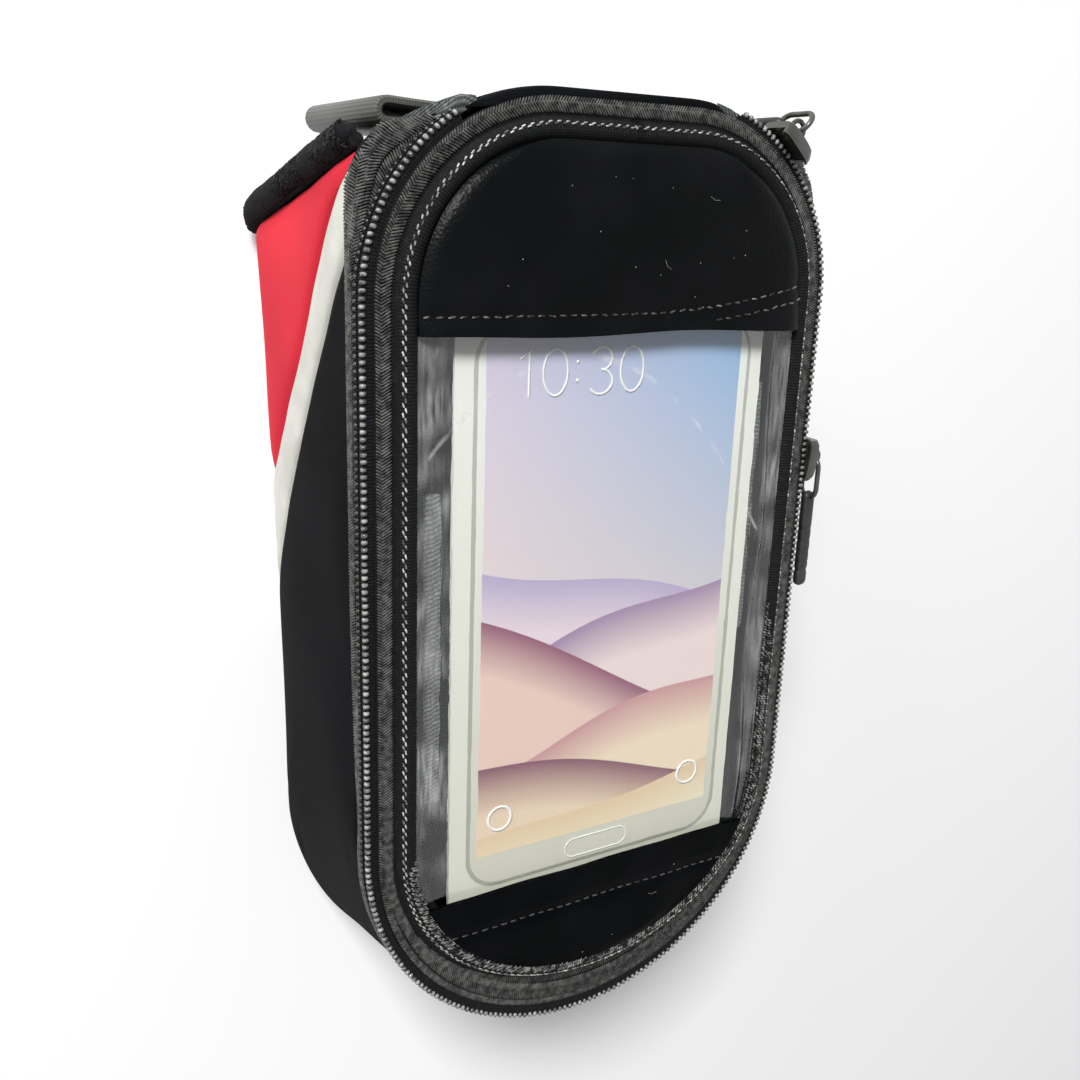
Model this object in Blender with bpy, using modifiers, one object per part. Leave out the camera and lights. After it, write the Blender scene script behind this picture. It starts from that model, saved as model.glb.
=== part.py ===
"""Bike phone bag: a padded top-tube bag with a clear phone window in its zipped lid.

Metres, +Z up. The bag lies on its base, +Y is the hinge end, which faces the head tube, and +X is
the side with the zip sliders. The lid's own plane slopes down towards the nose.
Most pieces are lofted round the lid's outline, in the lid's frame: u across, v along, w out of the
lid. A place on an outline is a step count from the middle of the hinge end, towards -X first.
"""

import math

import bmesh
import bpy
from mathutils import Matrix, Vector

# Overall sizes
WIDTH = 0.100
LENGTH = 0.191
DEPTH = 0.0642
LID_SLOPE = math.radians(4.0)
RAKE = 0.27

# Lid outline
HEAD_CORNER_R = 0.036
AXIS_OVERHANG = 0.0005
NOSE_WIDEN = 0.0063

# Box walls
WALL = 0.004
WALL_INSET = 0.0005
BOX_HEAD_SETBACK = 0.0065
BOX_CORNER_TOP_R = 0.010
BOX_CORNER_BASE_R = 0.006
BASE_EDGE_R = 0.007
PIPING_R = 0.0024

# The colour seams on the wall, from the zip down to the base, as curves through four points, each
# given by its distance from the head end and its w
RED_SEAM = ((0.0095, -0.004), (0.0195, -0.024), (0.0435, -0.032), (0.0895, -0.070))
BLACK_SEAM = ((0.0115, 0.006), (0.0256, -0.0184), (0.0911, -0.0573), (0.1145, -0.063))
SEAM_POINTS = 9
SEAM_OVERRUN = 8.0
SEAM_EXTRA_STEPS = 0.05
PRISM_REACH = 0.02

# Zip
COIL_THICKNESS = 0.0024
COIL_PROUD = 0.0006
COIL_HALF = 0.0020
PARTING_W = -0.005
ZIP_TAPE = 0.0012
ZIP_END_LEFT_INSET = 0.017
ZIP_END_RIGHT_INSET = 0.023
END_TAB_STEPS = 0.6
TAPE_DROP = 0.0019
LID_TAPE_THIN = 0.75

# Lid sandwich
SKIN = 0.0008
FILM = 0.0004
FILM_TOP_W = -0.0005
FLAP = 0.0012
PANEL_TOP_W = -0.0002
RIM_WIDTH = 0.0061
RIM_TOP_W = -0.0014
BINDING_INSET = 0.0055
BINDING_WIDTH = 0.0030
BINDING_HEIGHT = 0.0017
POCKET_DEPTH = 0.0092
POCKET_BACK = 0.0012
CARD = 0.0008
CARD_WIDTH = 0.0683
CARD_SHIFT_U = 0.00065
CARD_TUCK = 0.0028
FLAP_HEM_V = 0.0537
WINDOW_END_V = -0.0572
FILM_TUCK = 0.0030
POCKET_MOUTH_V = -0.062
MOUTH_HEM_WIDTH = 0.012
SIDE_TAPE_WIDTH = 0.0042
SIDE_TAPE_DROP = 0.0032
SIDE_TAPES = (("left", -1, -0.028, 0.027), ("right", 1, -0.012, 0.040))
FILM_TO_CARD = 0.0013
RIM_BEVEL = 0.0015

# Straps
WEBBING = 0.0016
STRAP_WIDTH = 0.025
STRAP_SPAN = 0.072
STRAP_REAR_Y = -0.055
STRAP_FRONT_Y = 0.030
HEAD_STRAP_WIDTH = 0.036
HEAD_STRAP_CLEAR_LEFT = 0.006
HEAD_STRAP_CLEAR_RIGHT = 0.014
HEAD_STRAP_THICKNESS = 0.0052
HEAD_STRAP_TOP_W = -0.012

# Sliders
SLIDER_LENGTH = 0.009
SLIDER_HEIGHT = 0.0086
SLIDER_PLATE = 0.0020
LOWER_SLIDER_V = 0.025
UPPER_SLIDER_ANGLE = math.radians(51.6)
SLIDER_ROOM_ANGLE = math.radians(16.6)
CROWN_POST = 0.0010
CROWN_HOLE = 0.0026
CROWN_HOLE_HEIGHT = 0.00275
CROWN_BEAM = 0.0009
CROWN_WIDTH = 0.0014
LINK_WIRE_R = 0.00055
LINK_R = 0.00225
LINK_STRAIGHT = 0.0046
GRIP_LENGTH = 0.022
GRIP_THICKNESS = 0.0030
GRIP_WIDTH = 0.0020
GRIP_HOLE_R = 0.00105

# Clearances
GAP = 0.0003
SWING_GAP = 0.0004

# Steps round a quarter of an outline
HEAD_STEPS = 2
CORNER_STEPS = 7
SIDE_STEPS = 5
NOSE_STEPS = 12
HALF_STEPS = HEAD_STEPS + CORNER_STEPS + SIDE_STEPS + NOSE_STEPS
RING_STEPS = 2 * HALF_STEPS
EDGE_ARC_STEPS = 3

HALF_WIDTH = WIDTH / 2
HALF_LENGTH = LENGTH / 2
NOSE_START_V = HALF_WIDTH - HALF_LENGTH
BOX_HALF = HALF_WIDTH - WALL_INSET
BOX_HEAD_V = HALF_LENGTH - BOX_HEAD_SETBACK
RIM_INSET = WALL_INSET + WALL + SWING_GAP
CARD_TOP_W = FILM_TOP_W - FILM - FILM_TO_CARD
POCKET_BACK_TOP_W = CARD_TOP_W - CARD - POCKET_DEPTH
RIM_BOTTOM_W = POCKET_BACK_TOP_W + GAP
BOX_COIL_LOW_W = PARTING_W - GAP / 2 - COIL_HALF
LID_COIL_HIGH_W = PARTING_W + GAP / 2 + COIL_HALF
WALL_TOP_W = BOX_COIL_LOW_W - TAPE_DROP
STRAP_STACK = 2 * WEBBING + 2 * GAP
BASE_FRAME_Z = STRAP_STACK + GAP
CORNER_MID = HEAD_STEPS + CORNER_STEPS / 2
HINGE_AXIS = Vector((0, HALF_LENGTH + AXIS_OVERHANG, PARTING_W))

COLOURS = {
    "black": ((0.010, 0.011, 0.013), 0.85, 0.0),
    "tape": ((0.030, 0.030, 0.028), 0.80, 0.0),
    "red": ((0.700, 0.045, 0.075), 0.75, 0.0),
    "silver": ((0.540, 0.540, 0.500), 0.45, 0.3),
    "vinyl": ((0.006, 0.007, 0.009), 0.35, 0.0),
    "film": ((0.600, 0.620, 0.620), 0.08, 0.0),
    "card": ((0.800, 0.800, 0.760), 0.50, 0.0),
    "metal": ((0.040, 0.042, 0.034), 0.35, 0.9),
    "rubber": ((0.012, 0.012, 0.012), 0.60, 0.0),
}


def clear_scene():
    """Remove every object that the file opened with."""
    for obj in list(bpy.data.objects):
        bpy.data.objects.remove(obj, do_unlink=True)


def make_collection(name):
    """A collection under the scene's own."""
    collection = bpy.data.collections.new(name)
    bpy.context.scene.collection.children.link(collection)
    return collection


def make_material(name, kind):
    """A Principled material in one of the bag's colours."""
    colour, roughness, metallic = COLOURS[kind]
    material = bpy.data.materials.new(name)
    material.use_nodes = True
    shader = material.node_tree.nodes["Principled BSDF"]
    shader.inputs["Base Color"].default_value = (*colour, 1.0)
    shader.inputs["Roughness"].default_value = roughness
    shader.inputs["Metallic"].default_value = metallic
    return material


def make_empty(name, parent, location, rotation=(0, 0, 0)):
    """An empty that carries pieces, such as one on a joint's axis."""
    empty = bpy.data.objects.new(name, None)
    empty.parent = parent
    empty.location = location
    empty.rotation_euler = rotation
    bpy.context.scene.collection.objects.link(empty)
    return empty


def link_object(obj, kind, parent, location=(0, 0, 0)):
    """Give an object its material, its carrier and its place, and shade it smooth where round."""
    obj.data.materials.clear()
    obj.data.materials.append(make_material(f"{obj.name}_material", kind))
    obj.parent = parent
    obj.location = location
    PARTS.objects.link(obj)
    if obj.type == "MESH":
        obj.data.shade_smooth()
        obj.data.set_sharp_from_angle(angle=math.radians(35))
    return obj


def mesh_object(name, mesh_builder, twisted=False):
    """An object from a bmesh, with its faces turned outwards, and cut into triangles if they twist."""
    bmesh.ops.recalc_face_normals(mesh_builder, faces=mesh_builder.faces)
    if twisted:
        bmesh.ops.triangulate(mesh_builder, faces=mesh_builder.faces)
    mesh = bpy.data.meshes.new(name)
    mesh_builder.to_mesh(mesh)
    mesh_builder.free()
    return bpy.data.objects.new(name, mesh)


def make_cutter(obj, parent=None, location=(0, 0, 0)):
    """Put an object among the cutters, which aren't pieces of the bag."""
    obj.hide_render = True
    obj.display_type = "WIRE"
    obj.parent = parent
    obj.location = location
    CUTTERS.objects.link(obj)
    return obj


def add_boolean(obj, cutter, operation):
    """Cut, keep or join with another object's shape."""
    modifier = obj.modifiers.new(f"{operation.lower()}_{cutter.name}", "BOOLEAN")
    modifier.operation = operation
    modifier.solver = "EXACT"
    modifier.object = cutter


def half_outline(half, nose_tip, nose_start, head, corner_u, corner_v):
    """The left half of an outline, from the middle of the head end to the nose's tip."""
    points = []
    flat = half - corner_u
    for step in range(HEAD_STEPS):
        points.append((-flat * step / HEAD_STEPS, head))
    for step in range(CORNER_STEPS):
        angle = math.pi / 2 * (1 - step / CORNER_STEPS)
        points.append((-flat - corner_u * math.cos(angle), head - corner_v * (1 - math.sin(angle))))
    side_start = head - corner_v
    for step in range(SIDE_STEPS):
        points.append((-half, side_start + (nose_start - side_start) * step / SIDE_STEPS))
    for step in range(NOSE_STEPS + 1):
        angle = math.pi / 2 * step / NOSE_STEPS
        points.append((-half * math.cos(angle), nose_start - (nose_start - nose_tip) * math.sin(angle)))
    return points


def full_outline(*sizes):
    """A closed outline with RING_STEPS points."""
    left = half_outline(*sizes)
    right = [(-u, v) for u, v in reversed(left[1:-1])]
    return left + right


def place_on(points, steps):
    """The point that lies a number of steps round an outline."""
    steps = steps % len(points)
    low = int(math.floor(steps))
    share = steps - low
    first, second = points[low % len(points)], points[(low + 1) % len(points)]
    return (first[0] + (second[0] - first[0]) * share, first[1] + (second[1] - first[1]) * share)


def lid_point(steps, inset, w, nose_extra=0.0, head_extra=0.0):
    """A point of the lid, an inset inside the closed zip's outline."""
    outline = full_outline(
        HALF_WIDTH - inset,
        -HALF_LENGTH + inset + nose_extra,
        NOSE_START_V,
        HALF_LENGTH - inset - head_extra,
        HEAD_CORNER_R - inset,
        HEAD_CORNER_R - inset - head_extra,
    )
    u, v = place_on(outline, steps)
    return Vector((u, v, w))


def widened(inset):
    """The extra inset at the nose, where the lid's zip tape shows wider."""
    share = (inset - COIL_THICKNESS + COIL_PROUD) / (BINDING_INSET - COIL_THICKNESS + COIL_PROUD)
    return NOSE_WIDEN * min(1.0, max(0.0, share))


def box_point(steps, inset, w):
    """A point of the box's walls, which rake towards the nose as they go down."""
    drop = PARTING_W - w
    shift = RAKE * drop
    blend = min(1.0, max(0.0, drop / DEPTH))
    corner = BOX_CORNER_TOP_R + (BOX_CORNER_BASE_R - BOX_CORNER_TOP_R) * blend
    corner = max(corner - inset, BOX_CORNER_BASE_R / 8)
    half = BOX_HALF - inset
    outline = full_outline(
        half,
        -HALF_LENGTH + WALL_INSET + inset - shift,
        NOSE_START_V - shift,
        BOX_HEAD_V - inset - shift,
        corner,
        corner,
    )
    u, v = place_on(outline, steps)
    return Vector((u, v, w))


def wall_point_at(steps, inset, height):
    """A point of the walls at a height over the base's underside, in the lid's frame."""
    w = -DEPTH
    for _ in range(12):
        point = box_point(steps, inset, w)
        w = (height - DEPTH - point.y * math.sin(LID_SLOPE)) / math.cos(LID_SLOPE)
    return box_point(steps, inset, w)


def span(first, last):
    """Step counts from first to last, with every whole step between them."""
    inner = range(int(math.floor(first)) + 1, int(math.ceil(last)))
    return [first, *[float(step) for step in inner], last]


def loft(name, section, steps, closed, twisted=False):
    """A solid swept through sections: a closed ring, or a strip with capped ends."""
    builder = bmesh.new()
    rings = []
    for step in steps:
        rings.append([builder.verts.new(point) for point in section(step)])
    pairs = list(zip(rings, rings[1:]))
    if closed:
        pairs.append((rings[-1], rings[0]))
    for ring, following in pairs:
        for index in range(len(ring)):
            after = (index + 1) % len(ring)
            builder.faces.new((ring[index], ring[after], following[after], following[index]))
    if not closed:
        builder.faces.new(rings[0])
        builder.faces.new(list(reversed(rings[-1])))
    return mesh_object(name, builder, twisted)


def ring_steps():
    """Every whole step round an outline."""
    return [float(step) for step in range(RING_STEPS)]


def plate(name, bottom, top):
    """A solid between two loops of points that match one another."""
    builder = bmesh.new()
    low = [builder.verts.new(point) for point in bottom]
    high = [builder.verts.new(point) for point in top]
    builder.faces.new(list(reversed(low)))
    builder.faces.new(high)
    for index in range(len(low)):
        after = (index + 1) % len(low)
        builder.faces.new((low[index], low[after], high[after], high[index]))
    return mesh_object(name, builder)


def lid_plate(name, inset, w_low, w_high, v_from, v_to, head_extra=0.0):
    """A flat panel of the lid, cut off square at v_from and v_to."""
    loop = []
    for step in ring_steps():
        point = lid_point(step, inset, w_low, widened(inset), head_extra)
        loop.append(point)
    clipped = clip_loop(clip_loop(loop, v_from, 1), v_to, -1)
    bottom = [Vector((point.x, point.y, w_low)) for point in clipped]
    top = [Vector((point.x, point.y, w_high)) for point in clipped]
    return plate(name, bottom, top)


def clip_loop(loop, limit, sign):
    """Keep the part of a loop whose v is past a limit, in the direction of sign."""
    kept = []
    for index, point in enumerate(loop):
        after = loop[(index + 1) % len(loop)]
        inside = sign * (point.y - limit) > 0
        after_inside = sign * (after.y - limit) > 0
        if inside:
            kept.append(point)
        if inside != after_inside:
            share = (limit - point.y) / (after.y - point.y)
            kept.append(point.lerp(after, share))
    return kept


def box_object(name, low, high, bevel=0.0):
    """A box between two corners, with rounded edges where a bevel is given."""
    builder = bmesh.new()
    bmesh.ops.create_cube(builder, size=1.0)
    size = Vector(high) - Vector(low)
    middle = (Vector(high) + Vector(low)) / 2
    bmesh.ops.scale(builder, vec=size, verts=builder.verts)
    bmesh.ops.translate(builder, vec=middle, verts=builder.verts)
    obj = mesh_object(name, builder)
    if bevel:
        modifier = obj.modifiers.new("rounded_edges", "BEVEL")
        modifier.width = bevel
        modifier.segments = 2
    return obj


def stadium(length, thickness, steps):
    """The loop of a bar with half-round ends, along X, centred on the origin."""
    radius = thickness / 2
    reach = length / 2 - radius
    points = []
    for end, start_angle in ((1, -math.pi / 2), (-1, math.pi / 2)):
        for step in range(steps + 1):
            angle = start_angle + math.pi * step / steps
            points.append((end * reach + radius * math.cos(angle), radius * math.sin(angle)))
    return points


def circle(radius, centre_x, steps):
    """A round loop centred on the X axis."""
    angles = [2 * math.pi * step / steps for step in range(steps)]
    return [(centre_x + radius * math.cos(angle), radius * math.sin(angle)) for angle in angles]


def flat_curve(name, loops, depth):
    """A flat outline with holes, given a depth along its own Z."""
    curve = bpy.data.curves.new(name, "CURVE")
    curve.dimensions = "2D"
    curve.fill_mode = "BOTH"
    curve.extrude = depth / 2
    for loop in loops:
        spline = curve.splines.new("POLY")
        spline.points.add(len(loop) - 1)
        for point, (x, y) in zip(spline.points, loop):
            point.co = (x, y, 0, 1)
        spline.use_cyclic_u = True
    return bpy.data.objects.new(name, curve)


def wire_curve(name, points, radius, closed):
    """A round wire or cord through a list of points."""
    curve = bpy.data.curves.new(name, "CURVE")
    curve.dimensions = "3D"
    curve.bevel_depth = radius
    curve.bevel_resolution = 2
    curve.use_fill_caps = not closed
    spline = curve.splines.new("POLY")
    spline.points.add(len(points) - 1)
    for point, place in zip(spline.points, points):
        point.co = (*place, 1)
    spline.use_cyclic_u = closed
    return bpy.data.objects.new(name, curve)


def curve_point(fractions, controls):
    """A point on a cubic curve through four control points."""
    a, b, c, d = controls
    t, s = fractions, 1 - fractions
    return tuple(s**3 * a[i] + 3 * s * s * t * b[i] + 3 * s * t * t * c[i] + t**3 * d[i] for i in (0, 1))


def wall_section(step):
    """A wall's section: straight, then rounded in under the base."""
    outer = [box_point(step, 0, WALL_TOP_W)]
    inner = [box_point(step, WALL, WALL_TOP_W)]
    inner_r = BASE_EDGE_R - WALL
    for index in range(EDGE_ARC_STEPS + 1):
        angle = math.pi / 2 * index / EDGE_ARC_STEPS
        across, down = 1 - math.cos(angle), math.sin(angle)
        outer.append(wall_point_at(step, BASE_EDGE_R * across, BASE_EDGE_R * (1 - down)))
        inner.append(wall_point_at(step, WALL + inner_r * across, BASE_EDGE_R - inner_r * down))
    return outer + inner[::-1]


def seam_steps():
    """The seams between the side walls and the end panel, as steps round the outline."""
    return CORNER_MID, RING_STEPS - CORNER_MID


def side_shell(name):
    """The whole side wall, from the left corner seam round the nose to the right one."""
    left, right = seam_steps()
    slack = seam_slack()
    return loft(name, wall_section, span(left + slack, right - slack), closed=False)


def seam_slack():
    """Half of a corner seam's gap, in steps."""
    arc_step = math.pi / 2 * BOX_CORNER_BASE_R / CORNER_STEPS
    return 0.5 * GAP / arc_step + SEAM_EXTRA_STEPS


def seam_line(controls, shift):
    """Points along a colour seam, moved a little along the bag."""
    line = [curve_point(index / (SEAM_POINTS - 1), controls) for index in range(SEAM_POINTS)]
    first, second = line[0], line[1]
    before, last = line[-2], line[-1]
    start = tuple(first[i] + SEAM_OVERRUN * (first[i] - second[i]) for i in (0, 1))
    end = tuple(last[i] + SEAM_OVERRUN * (last[i] - before[i]) for i in (0, 1))
    return [(HALF_LENGTH - back + shift, w) for back, w in [start, *line, end]]


def seam_prism(name, side, loop):
    """A prism over one side wall, from a loop of (v, w) points."""
    near, far = side * BOX_HALF / 3, side * (HALF_WIDTH + PRISM_REACH)
    bottom = [Vector((near, v, w)) for v, w in loop]
    top = [Vector((far, v, w)) for v, w in loop]
    return make_cutter(plate(name, bottom, top), LID_FRAME)


def build_walls():
    """The side wall in its three colours, cut along the two colour seams on each side."""
    seam = GAP / 2
    beyond = LENGTH
    wall = side_shell("wall_panel")
    for side, hand in ((-1, "left"), (1, "right")):
        red_line = seam_line(RED_SEAM, seam)
        corner = (beyond, red_line[-1][1])
        red_loop = [*red_line, corner, (beyond, red_line[0][1])]
        silver_loop = seam_line(BLACK_SEAM, seam) + seam_line(RED_SEAM, -seam)[::-1]
        black_line = seam_line(BLACK_SEAM, -seam)
        black_loop = [*black_line, (beyond, black_line[-1][1]), (beyond, black_line[0][1])]
        prisms = {
            "red": seam_prism(f"red_prism_{hand}", side, red_loop),
            "silver": seam_prism(f"silver_prism_{hand}", side, silver_loop),
            "black": seam_prism(f"black_prism_{hand}", side, black_loop),
        }
        red = side_shell(f"red_panel_{hand}")
        add_boolean(red, prisms["red"], "INTERSECT")
        link_object(red, "red", LID_FRAME)
        silver = side_shell(f"reflective_band_{hand}")
        add_boolean(silver, prisms["silver"], "INTERSECT")
        link_object(silver, "silver", LID_FRAME)
        add_boolean(wall, prisms["black"], "DIFFERENCE")
    link_object(wall, "black", LID_FRAME)


def build_end_panel():
    """The panel across the head end, between the two corner seams."""
    left, right = seam_steps()
    slack = seam_slack()
    steps = span(right + slack, RING_STEPS + left - slack)
    end = loft("end_panel", wall_section, steps, closed=False)
    link_object(end, "black", LID_FRAME)


def build_base():
    """The flat base panel, inside the walls' rounded lower edge."""
    inset = BASE_EDGE_R + GAP
    bottom = [wall_point_at(step, inset, 0.0) for step in ring_steps()]
    top = [wall_point_at(step, inset, WALL) for step in ring_steps()]
    link_object(plate("base_panel", bottom, top), "black", LID_FRAME)


def build_piping():
    """The piping over the corner seams and the end panel's lower edge, as one cord."""
    left, right = seam_steps()
    off = PIPING_R + GAP
    reach = BASE_EDGE_R + off
    top_w = WALL_TOP_W - PIPING_R
    turn = [math.pi / 4 * index / 3 for index in range(4)]

    def edge(step, angle):
        inset = BASE_EDGE_R - reach * math.cos(angle)
        return wall_point_at(step, inset, BASE_EDGE_R - reach * math.sin(angle))

    right_leg = [box_point(right, -off, top_w), *[edge(right, angle) for angle in turn]]
    across = [edge(step, math.pi / 4) for step in span(right, RING_STEPS + left)[1:-1]]
    left_leg = [*[edge(left, angle) for angle in reversed(turn)], box_point(left, -off, top_w)]
    path = right_leg + across + left_leg
    link_object(wire_curve("end_piping", path, PIPING_R, closed=False), "black", LID_FRAME)


def zip_end_steps():
    """Where the zip ends, left and right of the hinge, as steps round the lid's outline."""
    ends = []
    for inset in (ZIP_END_LEFT_INSET, ZIP_END_RIGHT_INSET):
        angle = math.acos(min(1.0, max(0.0, 1 - inset / HEAD_CORNER_R)))
        ends.append(HEAD_STEPS + CORNER_STEPS * (1 - angle / (math.pi / 2)))
    return ends[0], RING_STEPS - ends[1]


def slider_room_step():
    """Where the lid's coil ends behind the upper slider, so that the lid can open past it."""
    angle = UPPER_SLIDER_ANGLE - SLIDER_ROOM_ANGLE
    return RING_STEPS - HEAD_STEPS - CORNER_STEPS * (1 - angle / (math.pi / 2))


def zip_slack():
    """The gap between the zip's ends and its end tabs, in steps."""
    return GAP / (math.pi / 2 * HEAD_CORNER_R / CORNER_STEPS)


def strip_section(w_low, w_knee, w_high, inset, thickness):
    """The section of a band that leans from the box's edge to the zip's outline, then stands up."""

    def section(step):
        outer = [box_point(step, 0, w_low), lid_point(step, inset, w_knee)]
        inner = [box_point(step, thickness, w_low), lid_point(step, inset + thickness, w_knee)]
        if w_high > w_knee:
            outer.append(lid_point(step, inset, w_high))
            inner.append(lid_point(step, inset + thickness, w_high))
        return outer + inner[::-1]

    return section


def coil_section(w_low, w_high):
    """The section of one half of the zip's closed coil."""

    def section(step):
        inner = COIL_THICKNESS - COIL_PROUD
        corners = ((-COIL_PROUD, w_low), (inner, w_low), (inner, w_high), (-COIL_PROUD, w_high))
        return [lid_point(step, inset, w) for inset, w in corners]

    return section


def build_zip():
    """The two halves of the zip, the box's tape, the hinge band and the tabs on the zip's ends."""
    left, right = zip_end_steps()
    slack = zip_slack()
    zip_run = span(left, right)
    tape_low = WALL_TOP_W + GAP
    tape_high = BOX_COIL_LOW_W - GAP
    tape = strip_section(tape_low, tape_high, tape_high, WALL_INSET, ZIP_TAPE)
    link_object(loft("box_zip_tape", tape, zip_run, closed=False), "tape", LID_FRAME)
    box_coil = coil_section(BOX_COIL_LOW_W, PARTING_W - GAP / 2)
    link_object(loft("box_coil", box_coil, zip_run, closed=False), "tape", LID_FRAME)
    lid_section = coil_section(PARTING_W + GAP / 2, LID_COIL_HIGH_W)
    lid_run = span(left, slider_room_step())
    link_lid(loft("lid_coil", lid_section, lid_run, closed=False), "tape")
    band = strip_section(tape_low, tape_high, PARTING_W + 4 * GAP, WALL_INSET, ZIP_TAPE)
    tab_left = span(left - slack - END_TAB_STEPS, left - slack)
    tab_right = span(right + slack, right + slack + END_TAB_STEPS)
    tab = strip_section(tape_low, tape_high, PARTING_W - GAP, -COIL_PROUD, COIL_THICKNESS)
    for name, run in (("zip_end_tab_left", tab_left), ("zip_end_tab_right", tab_right)):
        link_object(loft(name, tab, run, closed=False, twisted=True), "tape", LID_FRAME)
    hinge_run = span(tab_right[-1] + slack, RING_STEPS + tab_left[0] - slack)
    link_object(loft("hinge_band", band, hinge_run, closed=False), "black", LID_FRAME)


def link_lid(obj, kind):
    """Put a piece on the lid, whose carrier lies on the hinge's axis."""
    return link_object(obj, kind, LID_HINGE, -HINGE_AXIS)


def rim_section(step):
    """The lid's padded rim: it leans in above, and lies clear of the end panel below."""
    head_clear = BOX_HEAD_SETBACK + RAKE * (PARTING_W - RIM_BOTTOM_W) + SWING_GAP
    inner = RIM_INSET + RIM_WIDTH
    return [
        lid_point(step, RIM_INSET, RIM_BOTTOM_W, 0.0, head_clear),
        lid_point(step, inner, RIM_BOTTOM_W, widened(inner), head_clear),
        lid_point(step, inner, RIM_TOP_W, widened(inner), 0.0),
        lid_point(step, RIM_INSET + RIM_BEVEL, RIM_TOP_W, widened(RIM_INSET + RIM_BEVEL), 0.0),
        lid_point(step, RIM_INSET, RIM_TOP_W - RIM_BEVEL, widened(RIM_INSET), head_clear / 2),
    ]


def build_lid_frame():
    """The lid's rim, its zip tape and the binding that covers the tape's inner edge."""
    link_lid(loft("lid_rim", rim_section, ring_steps(), closed=True), "black")
    outer = COIL_THICKNESS - COIL_PROUD + GAP
    inner = BINDING_INSET - GAP
    skin = ZIP_TAPE * LID_TAPE_THIN

    def tape_section(step):
        return [
            lid_point(step, outer, LID_COIL_HIGH_W - skin, widened(outer)),
            lid_point(step, inner, RIM_TOP_W - skin / 2, widened(inner)),
            lid_point(step, inner, RIM_TOP_W + skin / 2, widened(inner)),
            lid_point(step, outer, LID_COIL_HIGH_W, widened(outer)),
        ]

    link_lid(loft("lid_zip_tape", tape_section, ring_steps(), closed=True), "tape")
    low = RIM_TOP_W + GAP
    high = low + BINDING_HEIGHT
    far = BINDING_INSET + BINDING_WIDTH

    def binding_section(step):
        corners = ((BINDING_INSET, low), (far, low), (far, high), (BINDING_INSET, high))
        return [lid_point(step, inset, w, widened(inset)) for inset, w in corners]

    link_lid(loft("lid_binding", binding_section, ring_steps(), closed=True), "tape")


def build_window():
    """The clear film, the flap over its top, the band under its foot, and the display card."""
    inset = BINDING_INSET + BINDING_WIDTH + GAP
    film = lid_plate(
        "window_film",
        inset,
        FILM_TOP_W - FILM,
        FILM_TOP_W,
        WINDOW_END_V - FILM_TUCK,
        FLAP_HEM_V + FILM_TUCK,
    )
    link_lid(film, "film")
    flap = lid_plate("top_flap", inset, PANEL_TOP_W, PANEL_TOP_W + FLAP, FLAP_HEM_V, LENGTH)
    link_lid(flap, "vinyl")
    band = lid_plate("bottom_band", inset, PANEL_TOP_W, PANEL_TOP_W + SKIN, -LENGTH, WINDOW_END_V)
    link_lid(band, "vinyl")
    low = (CARD_SHIFT_U - CARD_WIDTH / 2, WINDOW_END_V - CARD_TUCK, CARD_TOP_W - CARD)
    high = (CARD_SHIFT_U + CARD_WIDTH / 2, FLAP_HEM_V + CARD_TUCK, CARD_TOP_W)
    link_lid(box_object("display_card", low, high), "card")


def build_pocket():
    """The pocket behind the window: its back, the hem of its mouth and the tapes at its sides."""
    head_clear = BOX_HEAD_SETBACK + RAKE * (PARTING_W - POCKET_BACK_TOP_W + POCKET_BACK) + SWING_GAP
    low_w = POCKET_BACK_TOP_W - POCKET_BACK
    back = lid_plate(
        "pocket_back", RIM_INSET, low_w, POCKET_BACK_TOP_W, POCKET_MOUTH_V, LENGTH, head_clear
    )
    link_lid(back, "black")
    mouth_reach = HALF_WIDTH - RIM_INSET - RIM_WIDTH
    hem_low = (-mouth_reach, POCKET_MOUTH_V, low_w - GAP - SKIN)
    hem_high = (mouth_reach, POCKET_MOUTH_V + MOUTH_HEM_WIDTH, low_w - GAP)
    link_lid(box_object("pocket_mouth_hem", hem_low, hem_high), "tape")
    far = HALF_WIDTH - RIM_INSET - RIM_WIDTH - SWING_GAP
    near = far - SIDE_TAPE_WIDTH
    tape_w = CARD_TOP_W - SIDE_TAPE_DROP
    for hand, side, v_from, v_to in SIDE_TAPES:
        across = sorted((side * near, side * far))
        low = (across[0], v_from, tape_w - SKIN)
        high = (across[1], v_to, tape_w)
        link_lid(box_object(f"side_tape_{hand}", low, high), "tape")


def strap_loop(name, span_across, thickness, width):
    """A strap closed on itself and pressed flat: a ring seen from its edge."""
    outer = stadium(span_across, thickness, 6)
    inner = stadium(span_across - 2 * WEBBING, thickness - 2 * WEBBING, 6)
    return flat_curve(name, [outer, inner], width)


def build_straps():
    """Two frame straps under the base, and the head-tube strap on the end panel."""
    for hand, along in (("rear", STRAP_REAR_Y), ("front", STRAP_FRONT_Y)):
        strap = strap_loop(f"frame_strap_{hand}", STRAP_SPAN, STRAP_STACK, STRAP_WIDTH)
        link_object(strap, "black", ORIGIN, (0, along, STRAP_STACK / 2))
        strap.rotation_euler = (math.pi / 2, 0, 0)
    face_v = BOX_HEAD_V - RAKE * (PARTING_W - HEAD_STRAP_TOP_W) + GAP
    across = WIDTH - HEAD_STRAP_CLEAR_LEFT - HEAD_STRAP_CLEAR_RIGHT
    strap = strap_loop("head_strap", across, HEAD_STRAP_THICKNESS, HEAD_STRAP_WIDTH)
    middle_u = (HEAD_STRAP_CLEAR_LEFT - HEAD_STRAP_CLEAR_RIGHT) / 2
    middle_w = HEAD_STRAP_TOP_W - HEAD_STRAP_WIDTH / 2
    place = (middle_u, face_v + HEAD_STRAP_THICKNESS / 2, middle_w)
    link_object(strap, "black", LID_FRAME, place)


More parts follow.
